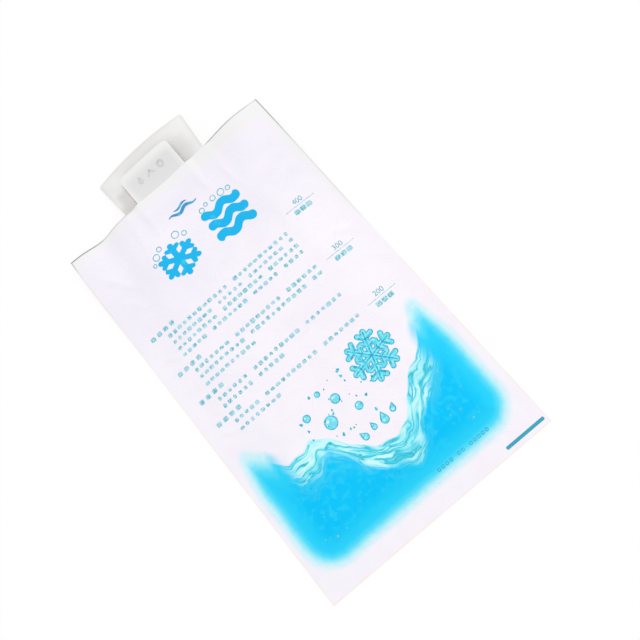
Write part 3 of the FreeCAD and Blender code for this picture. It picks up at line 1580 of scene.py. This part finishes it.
@dataclass(frozen=True)
class SoftPatch:
    """Rectangle of another tone on a plain film, with soft edges; on the valve these are painted shade
    and shadow.
    """

    tint: Tint
    centre: Pair
    half_size: Pair
    softness: float

    def share(self, x: Value, y: Value) -> Value:
        """Gives how much of the patch shows.

        Args:
            x: Millimetres across the film.
            y: Millimetres along the film.

        Returns:
            The share, 1 inside and 0 beyond the soft edge.
        """
        beside = (abs(x - self.centre[0]) - self.half_size[0]).at_least(0.0)
        beyond = (abs(y - self.centre[1]) - self.half_size[1]).at_least(0.0)
        return (beside * beside + beyond * beyond).math("SQRT").rise(self.softness, 0.0)


@dataclass(frozen=True)
class EdgeTone:
    """Darker tone along the cut edge of a film that widens towards its free end."""

    tint: Tint
    centre_x: float
    root: Pair
    end: Pair
    depth: float = 3.0
    strength: float = 0.5

    def share(self, x: Value, y: Value) -> Value:
        """Gives how much of the tone shows.

        Args:
            x: Millimetres across the film.
            y: Millimetres along the film.

        Returns:
            The share, falling to 0 over the tone's depth.
        """
        widening = (self.end[0] - self.root[0]) / (self.end[1] - self.root[1])
        from_side = (y - self.root[1]) * widening + self.root[0] - abs(x - self.centre_x)
        return from_side.at_most(self.end[1] - y).rise(self.depth, 0.0) * self.strength


@dataclass(frozen=True)
class PlainFilmFinish:
    """Unprinted milky film, slightly uneven in tone and gloss, with patches of another tone."""

    name: str
    tint: Tint
    dull: Tint
    roughness: float
    relief_depth: float
    patches: tuple[SoftPatch | EdgeTone, ...] = ()
    clouds: Mottle = Mottle(21.0, limits=(0.36, 0.7))
    dull_patches: Mottle = Mottle(6.0, 0.12)
    crinkles: tuple[Mottle, Mottle] = (Mottle(5.0, detail=3.0, distortion=0.5), Mottle(0.6, 0.08))
    ior: float = 1.5

    def make(self) -> bpy.types.Material:
        """Makes the plain film's material.

        Returns:
            The material.
        """
        material = bpy.data.materials.new(self.name)
        graph = Graph(material)
        place = graph.millimetres()
        x, y, _ = place.axes()
        colour = graph.blend(self.clouds.over(place), self.tint, self.dull)
        for patch in self.patches:
            colour = graph.blend(patch.share(x, y), colour, patch.tint)
        rough = self.dull_patches.around(place) + self.roughness
        coarse, fine = (crinkle.over(place) for crinkle in self.crinkles)
        normal = graph.relief(coarse + fine, self.relief_depth)
        graph.surface(Base_Color=colour, Roughness=rough, Normal=normal, IOR=self.ior)
        return material


@dataclass(frozen=True)
class InkFinish:
    """Ink on the film, a little uneven where it is thin, and turned to a second colour in patches."""

    name: str
    tint: Tint
    thin: Tint
    grain: float = 2.5
    thinning: Pair = (0.5, 0.72)
    turned: Tint | None = None
    turns: Mottle = Mottle(4.5, limits=(0.4, 0.6))
    roughness: float = 0.34
    dull_patches: Mottle = Mottle(4.0, 0.1)
    tooth: Mottle = Mottle(0.7)
    tooth_depth: float = 0.01
    ior: float = 1.48

    def make(self) -> bpy.types.Material:
        """Makes the ink's material.

        Returns:
            The material.
        """
        material = bpy.data.materials.new(self.name)
        graph = Graph(material)
        place = graph.millimetres()
        full = graph.blend(self.turns.over(place), self.tint, self.turned or self.tint)
        thin = Mottle(self.grain, limits=self.thinning, detail=3.0).over(place)
        rough = self.dull_patches.over(place) + self.roughness
        normal = graph.relief(self.tooth.over(place), self.tooth_depth)
        graph.surface(
            Base_Color=graph.blend(thin, full, self.thin), Roughness=rough, Normal=normal, IOR=self.ior
        )
        return material


@dataclass
class Pouch:
    """The two films of the pouch, which touch in the seals and stand apart over the granules.

    The rooms are the boxes of a film's upper and lower face on the bake map.
    """

    form: PackForm
    front_spacing: float = 1.0
    back_spacing: float = 2.5
    fill: float = 0.1
    front_rooms: tuple[Box, Box] = ((0.006, 0.006, 0.602, 0.985), (0.63, 0.64, 0.8, 0.92))
    back_rooms: tuple[Box, Box] = ((0.82, 0.64, 0.99, 0.92), (0.62, 0.01, 0.985, 0.61))

    def build(self) -> bpy.types.Object:
        """Makes the pouch, dressed and riding on the pack.

        Returns:
            The pouch.
        """
        form = self.form
        draft = MeshDraft()
        x, y = form.pouch_grid(self.front_spacing)
        over = form.front_level(x, y)
        draft.add_film(x, y, over - form.film, over, self.front_rooms)
        x, y = form.pouch_grid(self.back_spacing)
        under = form.back_level(x, y)
        draft.add_film(x, y, under, under + form.film, self.back_rooms, slot=1)
        plain = PlainFilmFinish("plain_film", Tint.BACK_FILM, Tint.FILM_COOL, 0.4, 0.12)
        made = draft.to_object("pouch_films", [PrintedFilmFinish().make(form), plain.make()])
        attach(made, "root")
        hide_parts("pouch")
        return made


@dataclass
class Valve:
    """The valve's two films: a wide flap behind and a narrower tab in front of it.

    The rooms are the boxes of a film's upper and lower face on the bake map. The places of the painted
    shade are measured from the middle and from the left side of the tab.
    """

    form: PackForm
    painted_shade_right_of_middle: float = 10.0
    painted_shade_left_of_tab: float = 4.1
    corner_shade_left_of_tab: float = 6.1
    tab_shade_inset: float = 4.5
    tab_shade_reach: float = 11.0
    flap_counts: Steps = (60, 40)
    tab_counts: Steps = (44, 34)
    rooms: tuple[Box, Box] = ((0.02, 0.52, 0.98, 0.98), (0.02, 0.02, 0.98, 0.48))

    def build(self) -> list[bpy.types.Object]:
        """Makes the flap and the tab, dressed and riding on the pack.

        Returns:
            The two films.
        """
        form = self.form
        flap_grid = form.strip_grid(
            form.flap_offset,
            (form.flap_root_width, form.flap_end_width),
            form.top_y + form.flap_reach,
            form.flap_end_bow,
            form.flap_corner,
            self.flap_counts,
        )
        tab_grid = form.strip_grid(
            form.tab_offset,
            (form.tab_width, form.tab_width),
            form.top_y + form.tab_reach,
            0.0,
            form.tab_corner,
            self.tab_counts,
        )
        # The flap carries painted shade and shadow around the tab.
        flap = PlainFilmFinish("valve_film", Tint.VALVE, Tint.VALVE_DULL_AND_SHADOW, 0.36, 0.14, self._flap_tones())
        # The tab carries painted shade over its middle near the mouth.
        tab = PlainFilmFinish("valve_tab_film", Tint.TAB, Tint.VALVE, 0.34, 0.12, (self._tab_shade(),))
        return [
            self._film("flap_film", "valve_flap", flap_grid, form.flap_level, flap),
            self._film("tab_film", "valve_tab", tab_grid, form.tab_level, tab),
        ]

    def _flap_tones(self) -> tuple[SoftPatch | EdgeTone, ...]:
        """Lays out the flap's tones: painted shadow beyond the tab's end, painted shade beside the tab
        and in the corner left of it, and darker at its cut edge.

        Returns:
            The tones, in the order in which they are laid on.
        """
        form = self.form
        seal_y = form.top_y
        tab_left = form.tab_offset - form.tab_width / 2.0
        tab_end = (form.tab_offset, seal_y + form.tab_reach)
        right_painted_shade = (form.tab_offset + self.painted_shade_right_of_middle, seal_y)
        left_painted_shade = (tab_left - self.painted_shade_left_of_tab, seal_y)
        left_corner_shade = (tab_left - self.corner_shade_left_of_tab, seal_y)
        root = (form.flap_root_width / 2.0, seal_y)
        end = (form.flap_end_width / 2.0, seal_y + form.flap_reach + form.flap_end_bow)
        return (
            # Painted shadow of the tab's end on the flap beyond it.
            SoftPatch(Tint.VALVE_DULL_AND_SHADOW, tab_end, half_size=(10.0, 4.0), softness=8.0),
            # Painted shade on the flap to the right of the tab and along its left side.
            SoftPatch(Tint.VALVE_PAINTED_SHADE, right_painted_shade, half_size=(7.5, 7.0), softness=15.0),
            SoftPatch(Tint.VALVE_PAINTED_SHADE, left_painted_shade, half_size=(1.0, 10.5), softness=5.0),
            # Painted shade in the corner between the tab's left side and the top seal.
            SoftPatch(Tint.VALVE_CORNER_PAINTED_SHADE, left_corner_shade, half_size=(2.5, 1.0), softness=6.0),
            EdgeTone(Tint.VALVE_EDGE, form.flap_offset, root, end),
        )

    def _tab_shade(self) -> SoftPatch:
        """Lays out painted shade over the tab's middle from the mouth outwards, with its sides and free
        end lighter.
        """
        half_size = (self.form.tab_width / 2.0 - self.tab_shade_inset, self.tab_shade_reach)
        return SoftPatch(Tint.TAB_PAINTED_SHADE, (self.form.tab_offset, self.form.top_y), half_size, softness=6.0)

    def _film(
        self, name: str, node: str, grid: tuple[Grid, Grid], level: Level, finish: PlainFilmFinish
    ) -> bpy.types.Object:
        """Makes one of the valve's films.

        Args:
            name: The object's name.
            node: The solid that it stands for.
            grid: The x and the y of its places.
            level: Height of its underside.
            finish: Its finish.

        Returns:
            The film.
        """
        draft = MeshDraft()
        under = level(*grid)
        draft.add_film(*grid, under, under + self.form.valve_film, self.rooms)
        made = draft.to_object(name, [finish.make()])
        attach(made, "root")
        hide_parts(node)
        return made


@dataclass
class TabSigns:
    """Small raised signs in a row on the tab: a drop, an arrow head and a ring."""

    form: PackForm
    row_y: float = 111.2
    left: float = -8.9
    pitch: float = 7.4
    size: float = 4.2
    line: float = 1.0
    drop_share: float = 0.72
    drop_sink: float = 0.3
    relief: float = 0.18
    cell: float = 0.22

    def build(self) -> bpy.types.Object:
        """Makes the signs, raised on the tab.

        Returns:
            The signs.
        """
        half = self.size / 2.0
        middle = self.left + self.pitch
        right = middle + self.pitch
        low, high = self.row_y - half / 2.0, self.row_y + half / 2.0
        signs: list[Shape] = [
            Drop((self.left, self.row_y - self.drop_sink * half), self.drop_share * half),
            Stroke((middle - half, low), (middle, high), self.line),
            Stroke((middle + half, low), (middle, high), self.line),
            Outline(Disc((right, self.row_y), half - self.line / 2.0), self.line),
        ]
        # The signs are a darker grey than the tab: painted shade of their relief.
        finish = PlainFilmFinish("raised_sign_film", Tint.TAB_SIGN_PAINTED_SHADE, Tint.VALVE_DULL_AND_SHADOW, 0.4, 0.03)
        layer = ShapeLayer("tab_signs", self._top, self.relief, self.cell)
        layer.depth = self.relief + self.form.valve_film / 2.0
        made = layer.build(signs, finish.make())
        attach(made, "root")
        return made

    def _top(self, x: Grid, y: Grid) -> Grid:
        """Gives the height of the tab's upper face."""
        return self.form.tab_level(x, y) + self.form.valve_film


SMALL_INK = InkFinish(
    "small_print_ink",
    Tint.SMALL_PRINT,
    thin=Tint.SMALL_PRINT_PALE,
    grain=0.9,
    thinning=(0.42, 0.6),
    turned=Tint.SMALL_PRINT_BLUE,
)


@dataclass(frozen=True)
class PrintedPiece:
    """Shapes that are printed in one ink.

    Their rise is how many times the ink's height they lie over the film, so that inks can lie on each
    other, and their cell is the size of the cells that they are cut from.
    """

    name: str
    shapes: Sequence[Shape]
    ink: InkFinish
    cell: float
    rise: float = 1.0


class Design:
    """Part of the print that lays out pieces of its own."""

    def pieces(self) -> list[PrintedPiece]:
        """Lays out the design's pieces."""
        raise NotImplementedError


@dataclass(frozen=True)
class Headline(Design):
    """Two large signs, an ice crystal and three bars of water, with bubbles round and waves over them.

    Each bubble gives its x, its y and its radius.
    """

    crystal: Crystal = Crystal(
        (-19.6, 60.4), reach=10.8, line=2.9, twigs=((0.56, 0.3),), turn=math.pi / 6.0, stretch=1.2
    )
    bar: WavyBar = WavyBar((16.0, 60.9), length=25.6, thickness=4.9, wave_height=1.5, wave_length=13.0)
    bar_pitch: float = 7.2
    bar_phase: float = 0.6
    bubbles: tuple[Triple, ...] = (
        (-29.2, 69.6, 1.9),
        (-25.3, 72.6, 1.4),
        (-13.4, 73.3, 2.1),
        (-8.9, 70.6, 1.4),
        (-32.6, 66.3, 1.0),
        (6.4, 73.6, 1.5),
        (10.2, 75.0, 1.1),
        (20.9, 74.3, 2.0),
        (25.4, 73.4, 1.3),
        (15.4, 74.9, 1.6),
    )
    bubble_line: float = 0.5
    crest: tuple[WavyBar, ...] = (
        WavyBar((-1.2, 82.4), 20.8, thickness=2.0, wave_height=0.9, wave_length=10.4, taper=0.75),
        WavyBar((-1.2, 84.9), 11.0, thickness=1.3, wave_height=0.7, wave_length=10.4, taper=0.75),
    )

    def pieces(self) -> list[PrintedPiece]:
        """Lays out the headline.

        Returns:
            The signs, their bubbles and the small waves.
        """
        x, y = self.bar.centre
        bars = [
            replace(self.bar, centre=(x, y + self.bar_pitch * row), phase=self.bar_phase * row)
            for row in (-1, 0, 1)
        ]
        rings = [Outline(Disc((x, y), radius), self.bubble_line) for x, y, radius in self.bubbles]
        bright = InkFinish("bright_blue_ink", Tint.BRIGHT_BLUE, Tint.CYAN, 6.0, (0.56, 0.85))
        line = InkFinish("bubble_line_ink", Tint.BUBBLE_LINE, Tint.SMALL_PRINT_PALE, 1.5)
        middle = InkFinish("mid_blue_ink", Tint.MID_BLUE, Tint.CYAN)
        return [
            PrintedPiece("headline_marks", [self.crystal, *bars], bright, 0.5),
            PrintedPiece("headline_bubbles", rings, line, 0.3, rise=1.3),
            PrintedPiece("crest_mark", self.crest, middle, 0.35),
        ]


@dataclass(frozen=True)
class PrintBlock:
    """Block of small print: where its heading and its rows are, and how far its last row runs."""

    heading_y: float
    row_ys: tuple[float, ...]
    last_row: float


@dataclass(frozen=True)
class SmallPrint(Design):
    """Four blocks of rows of blank marks, each under a short heading, in place of reading matter."""

    left: float = -60.1
    indent: float = -52.2
    right: float = 33.0
    pitch: float = 3.61
    widths: Pair = (1.7, 2.75)
    heights: Pair = (1.6, 2.45)
    corner: float = 0.45
    unsteadiness: float = 0.12
    first_run: Steps = (5, 12)
    later_runs: Steps = (4, 13)
    heading_inset: float = 0.6
    heading_pitch: float = 4.7
    heading_marks: int = 4
    heading_size: Pair = (2.9, 2.5)
    heading_corner: float = 0.5
    blocks: tuple[PrintBlock, ...] = (
        PrintBlock(36.7, (31.8, 27.3, 22.9, 18.4), 1.0),
        PrintBlock(12.0, (7.5, 3.1, -1.9), 0.42),
        PrintBlock(-7.5, (-12.5, -17.2), 0.5),
        PrintBlock(-22.6, (-27.1, -32.0), 0.38),
    )
    seed: int = 11

    def pieces(self) -> list[PrintedPiece]:
        """Lays out the small print.

        Returns:
            All of its marks as one piece.
        """
        chance = random.Random(self.seed)
        shapes: list[Shape] = []
        for block in self.blocks:
            for number in range(self.heading_marks):
                x = self.left + self.heading_inset + self.heading_pitch * number
                shapes.append(Plate((x, block.heading_y), *self.heading_size, self.heading_corner))
            for y in block.row_ys:
                shapes += self._row(chance, y, block.last_row if y == block.row_ys[-1] else 1.0)
        return [PrintedPiece("small_print", shapes, SMALL_INK, 0.42)]

    def _row(self, chance: random.Random, y: float, share: float) -> list[Shape]:
        """Lays out one row of marks, with a space after every few.

        Args:
            chance: The source of the marks' unevenness.
            y: The y of the row.
            share: How much of the full width it runs over.

        Returns:
            The marks.
        """
        marks: list[Shape] = []
        x = self.indent + self.pitch / 2.0
        until_space = chance.randint(*self.first_run)
        while x < self.indent + (self.right - self.indent) * share:
            if until_space:
                wide, tall = chance.uniform(*self.widths), chance.uniform(*self.heights)
                mark_y = y + chance.uniform(-self.unsteadiness, self.unsteadiness)
                marks.append(Plate((x, mark_y), wide, tall, self.corner))
            until_space = until_space - 1 if until_space else chance.randint(*self.later_runs)
            x += self.pitch
        return marks


@dataclass(frozen=True)
class LevelMarks(Design):
    """A fine line at each of the three levels, with a short bold row under it."""

    line: Plate = Plate((49.2, 0.0), width=18.8, height=0.3, corner=0.1)
    line_ys: Triple = (39.7, 6.1, -26.9)
    block: Plate = Plate((49.1, -2.9), width=3.3, height=2.7, corner=0.5)
    block_pitch: float = 3.9

    def pieces(self) -> list[PrintedPiece]:
        """Lays out the level marks.

        Returns:
            The lines and the rows.
        """
        lines = [replace(self.line, centre=(self.line.centre[0], y)) for y in self.line_ys]
        x, drop = self.block.centre
        centres = [(x + self.block_pitch * step, y + drop) for y in self.line_ys for step in (-1, 0, 1)]
        blocks = [replace(self.block, centre=centre) for centre in centres]
        return [
            PrintedPiece("level_lines", lines, SMALL_INK, 0.12),
            PrintedPiece("level_blocks", blocks, SMALL_INK, 0.42),
        ]


@dataclass(frozen=True)
class PictureSigns(Design):
    """Outlined ice crystal, bubbles and drops over the picture's water, with specks among them.

    Each bubble gives its x, its y and its radius, and each drop gives its lean as well.
    """

    crystal: Crystal = Crystal(
        (25.0, -47.5), reach=12.7, line=3.0, twigs=((0.36, 0.27), (0.66, 0.3)), turn=0.2
    )
    vein: float = 0.7
    outline: float = 0.5
    bubbles: tuple[Triple, ...] = (
        (-13.0, -60.0, 3.4),
        (-3.6, -52.0, 2.4),
        (-21.5, -50.5, 1.9),
        (3.5, -62.5, 2.0),
        (-9.5, -44.5, 1.4),
    )
    drops: tuple[Box, ...] = (
        (-4.0, -76.5, 1.7, -0.5),
        (2.5, -75.5, 1.4, -0.15),
        (9.0, -76.0, 2.1, 0.1),
        (15.5, -74.5, 1.5, 0.45),
    )
    specks: int = 34
    speck_xs: Pair = (-26.0, 22.0)
    speck_ys: Pair = (-70.0, -40.0)
    speck_radii: Pair = (0.3, 0.8)
    speck_leans: Pair = (-0.9, 0.9)
    bubble_glint: Triple = (-0.35, 0.4, 0.26)
    drop_glint: Triple = (-0.3, -0.1, 0.3)
    seed: int = 16

    def pieces(self) -> list[PrintedPiece]:
        """Lays out the picture's signs.

        Returns:
            Their pale fillings, their lines with the specks, and their glints.
        """
        bubbles = [Disc((x, y), radius) for x, y, radius in self.bubbles]
        drops = [Drop((x, y), radius, lean) for x, y, radius, lean in self.drops]
        crystal = self._crystal(self.crystal.line)
        outlines = [Outline(shape, self.outline) for shape in (crystal, *bubbles, *drops)]
        lines = [self._crystal(self.vein), *outlines, *self._specks()]
        glints = [self._glint(bubble, self.bubble_glint) for bubble in bubbles]
        glints += [self._glint(drop, self.drop_glint) for drop in drops]
        pale = InkFinish("pale_cyan_ink", Tint.ICE, Tint.PALE_CYAN, 2.0, (0.4, 0.65))
        teal = InkFinish("teal_ink", Tint.TEAL, Tint.CYAN, 1.6, (0.42, 0.62))
        foam = InkFinish("foam_ink", Tint.FOAM, Tint.PALE_CYAN)
        return [
            PrintedPiece("picture_lights", [*bubbles, *drops, crystal], pale, 0.4),
            PrintedPiece("picture_lines", lines, teal, 0.3, rise=1.6),
            PrintedPiece("picture_glints", glints, foam, 0.2, rise=2.2),
        ]

    def _crystal(self, line: float) -> Crystal:
        """Gives the ice crystal with arms of another width, which round off at the same length."""
        return replace(self.crystal, reach=self.crystal.reach + line / 2.0, line=line)

    def _specks(self) -> list[Shape]:
        """Scatters small drops round the bubbles.

        Returns:
            The specks.
        """
        chance = random.Random(self.seed)
        specks: list[Shape] = []
        for _ in range(self.specks):
            centre = (chance.uniform(*self.speck_xs), chance.uniform(*self.speck_ys))
            radius, lean = chance.uniform(*self.speck_radii), chance.uniform(*self.speck_leans)
            specks.append(Drop(centre, radius, lean))
        return specks

    def _glint(self, sign: Disc | Drop, place: Triple) -> Disc:
        """Gives a sign's light spot.

        Args:
            sign: The bubble or drop.
            place: The spot's offset across and along, and its radius, as shares of the sign's radius.

        Returns:
            The spot.
        """
        across, along, size = (share * sign.radius for share in place)
        return Disc((sign.centre[0] + across, sign.centre[1] + along), size)


@dataclass(frozen=True)
class FootMarks(Design):
    """Row of small open dashes at the field's foot, in three groups, and a bar near the bottom corner."""

    dash: Plate = Plate((13.1, -111.7), width=1.4, height=1.5, corner=0.3)
    dash_line: float = 0.5
    dash_pitch: float = 2.55
    dash_places: int = 13
    gaps: Steps = (4, 7)
    bar: Plate = Plate((56.5, -124.85), width=23.6, height=1.75, corner=0.2)

    def pieces(self) -> list[PrintedPiece]:
        """Lays out the marks.

        Returns:
            The dashes and the bar.
        """
        x, y = self.dash.centre
        places = [step for step in range(self.dash_places) if step not in self.gaps]
        dashes = [replace(self.dash, centre=(x + self.dash_pitch * step, y)) for step in places]
        open_dashes = [Outline(dash, self.dash_line) for dash in dashes]
        dash_ink = InkFinish("dash_ink", Tint.DASH_BLUE, Tint.CYAN)
        bar_ink = InkFinish("mark_bar_ink", Tint.MARK_BAR, Tint.TEAL)
        return [
            PrintedPiece("foot_dashes", open_dashes, dash_ink, 0.35),
            PrintedPiece("mark_bar", [self.bar], bar_ink, 0.5),
        ]


@dataclass
class FrontPrint:
    """Everything that is printed on the front film in crisp ink, apart from the numbers."""

    form: PackForm
    ink_height: float = 0.05
    designs: tuple[Design, ...] = (Headline(), SmallPrint(), LevelMarks(), PictureSigns(), FootMarks())

    def build(self) -> list[bpy.types.Object]:
        """Prints every piece on the film.

        Returns:
            The pieces.
        """
        inks: dict[InkFinish, bpy.types.Material] = {}
        made = []
        for piece in (piece for design in self.designs for piece in design.pieces()):
            if piece.ink not in inks:
                inks[piece.ink] = piece.ink.make()
            lift = piece.rise * self.ink_height
            layer = ShapeLayer(piece.name, self.form.front_level, lift, piece.cell)
            made.append(layer.build(piece.shapes, inks[piece.ink]))
            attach(made[-1], "root")
        return made


@dataclass
class LevelNumbers:
    """Plain numbers over the three level lines, in Blender's own type."""

    form: PackForm
    numbers: tuple[tuple[str, float], ...] = (("400", 42.0), ("300", 8.5), ("200", -24.5))
    centre_x: float = 49.2
    size: float = 4.2
    ink_height: float = 0.05
    curve_steps: int = 4
    longest_edge: float = 0.9
    cuts: int = 3

    def build(self) -> bpy.types.Object:
        """Makes the numbers as one thin mesh that follows the film.

        Returns:
            The numbers.
        """
        draft = MeshDraft()
        for text, y in self.numbers:
            self._add_number(draft, text, y)
        draft.drape(self.form.front_level, self.ink_height)
        ink = InkFinish("level_number_ink", Tint.SMALL_PRINT, Tint.SMALL_PRINT_PALE, 1.2).make()
        made = draft.to_object("level_numbers", [ink], mapped=False)
        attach(made, "root")
        return made

    def _add_number(self, draft: MeshDraft, text: str, y: float) -> None:
        """Adds one number to the mesh.

        Args:
            draft: The mesh that gathers the numbers.
            text: The number.
            y: The y of its middle.
        """
        curve = bpy.data.curves.new("number", "FONT")
        curve.body = text
        curve.size = self.size
        curve.align_x, curve.align_y = "CENTER", "CENTER"
        curve.resolution_u = self.curve_steps
        holder = bpy.data.objects.new("number", curve)
        flat = bpy.data.meshes.new_from_object(holder)
        fine = bmesh.new()
        fine.from_mesh(flat)
        bmesh.ops.triangulate(fine, faces=fine.faces[:])
        for _ in range(self.cuts):
            long_edges = [edge for edge in fine.edges if edge.calc_length() > self.longest_edge]
            bmesh.ops.subdivide_edges(fine, edges=long_edges, cuts=1)
        fine.verts.index_update()
        first = len(draft.corners)
        for corner in fine.verts:
            draft.corners.append((corner.co.x + self.centre_x, corner.co.y + y, 0.0))
        for face in fine.faces:
            draft.add_face([first + corner.index for corner in face.verts], [])
        fine.free()
        bpy.data.objects.remove(holder)
        bpy.data.curves.remove(curve)
        bpy.data.meshes.remove(flat)


@dataclass(frozen=True)
class Studio:
    """Plain white floor under soft light, with one large lamp past the pack's top right corner.

    Its sizes are in metres, and its lamp's power in watts.
    """

    floor_size: float = 6.0
    floor_drop: float = 0.0001
    floor_glow: float = 0.86
    ambient: float = 0.81
    lamp_power: float = 22.0
    lamp_size: float = 1.5
    lamp_place: Triple = (1.2, 1.3, 2.3)

    def build(self) -> None:
        """Makes the floor, the lamp and the world's light."""
        self._lay_floor()
        lamp = bpy.data.lights.new("key_lamp", "AREA")
        lamp.energy = self.lamp_power
        lamp.size = self.lamp_size
        holder = bpy.data.objects.new("key_lamp", lamp)
        holder.location = self.lamp_place
        holder.rotation_euler = (-Vector(self.lamp_place)).to_track_quat("-Z", "Y").to_euler()
        bpy.context.scene.collection.objects.link(holder)
        world = bpy.data.worlds.new("soft_light")
        bpy.context.scene.world = world
        graph = Graph(world)
        seen = graph.node("ShaderNodeLightPath", output="Is Camera Ray")
        level = seen * (1.0 - self.ambient) + self.ambient
        sky = graph.node("ShaderNodeBackground", inputs={"Color": WHITE, "Strength": level})
        graph.end(sky, "ShaderNodeOutputWorld")

    def _lay_floor(self) -> None:
        """Lays the floor just under the pack."""
        half = self.floor_size / 2.0
        mesh = bpy.data.meshes.new("floor")
        corners = ((-half, -half), (half, -half), (half, half), (-half, half))
        mesh.from_pydata([(x, y, -self.floor_drop) for x, y in corners], [], [(0, 1, 2, 3)])
        mesh.materials.append(self._floor_material())
        floor = bpy.data.objects.new("floor", mesh)
        bpy.context.scene.collection.objects.link(floor)

    def _floor_material(self) -> bpy.types.Material:
        """Makes a matte white that also glows to the camera, in mirrors and through glass.

        Returns:
            The material.
        """
        material = bpy.data.materials.new("white_floor")
        graph = Graph(material)
        seen = graph.node("ShaderNodeLightPath", output="Is Camera Ray")
        for ray in ("Is Glossy Ray", "Is Transmission Ray"):
            seen = seen.at_least(graph.node("ShaderNodeLightPath", output=ray))
        matte = graph.node("ShaderNodeBsdfDiffuse", inputs={"Color": WHITE})
        glow = graph.node("ShaderNodeEmission", inputs={"Color": WHITE})
        mixed = graph.node("ShaderNodeMixShader", inputs={0: seen * self.floor_glow, 1: matte, 2: glow})
        graph.end(mixed)
        return material


@dataclass(frozen=True)
class PhotoCamera:
    """Camera at the photograph's viewing angle, with its place and target in metres."""

    place: Triple = (0.02376, -0.0784, 0.3092)
    target: Triple = (0.0165, -0.01535, 0.0)
    upward: Triple = (0.6547, 0.7435, 0.1362)
    lens: float = 33.75
    sensor: float = 36.0
    nearest: float = 0.01

    def build(self) -> None:
        """Makes the scene's camera."""
        camera = bpy.data.cameras.new("camera")
        camera.lens = self.lens
        camera.sensor_width = self.sensor
        camera.clip_start = self.nearest
        holder = bpy.data.objects.new("camera", camera)
        back = (Vector(self.place) - Vector(self.target)).normalized()
        right = Vector(self.upward).cross(back).normalized()
        turned = Matrix((right, back.cross(right), back)).transposed()
        holder.matrix_world = Matrix.Translation(self.place) @ turned.to_4x4()
        bpy.context.scene.collection.objects.link(holder)
        bpy.context.scene.camera = holder


def main() -> None:
    """Builds the camera, the studio and every piece of the ice pack."""
    logging.basicConfig(level=logging.INFO, format="%(name)s: %(message)s")
    bpy.context.scene.view_settings.view_transform = "Standard"
    PhotoCamera().build()
    Studio().build()
    form = PackForm.from_frame()
    pieces = [Pouch(form).build(), *Valve(form).build(), TabSigns(form).build()]
    pieces += [*FrontPrint(form).build(), LevelNumbers(form).build()]
    for piece in pieces:
        log.info("%s: %d faces", piece.name, len(piece.data.polygons))


if __name__ == "__main__":
    main()
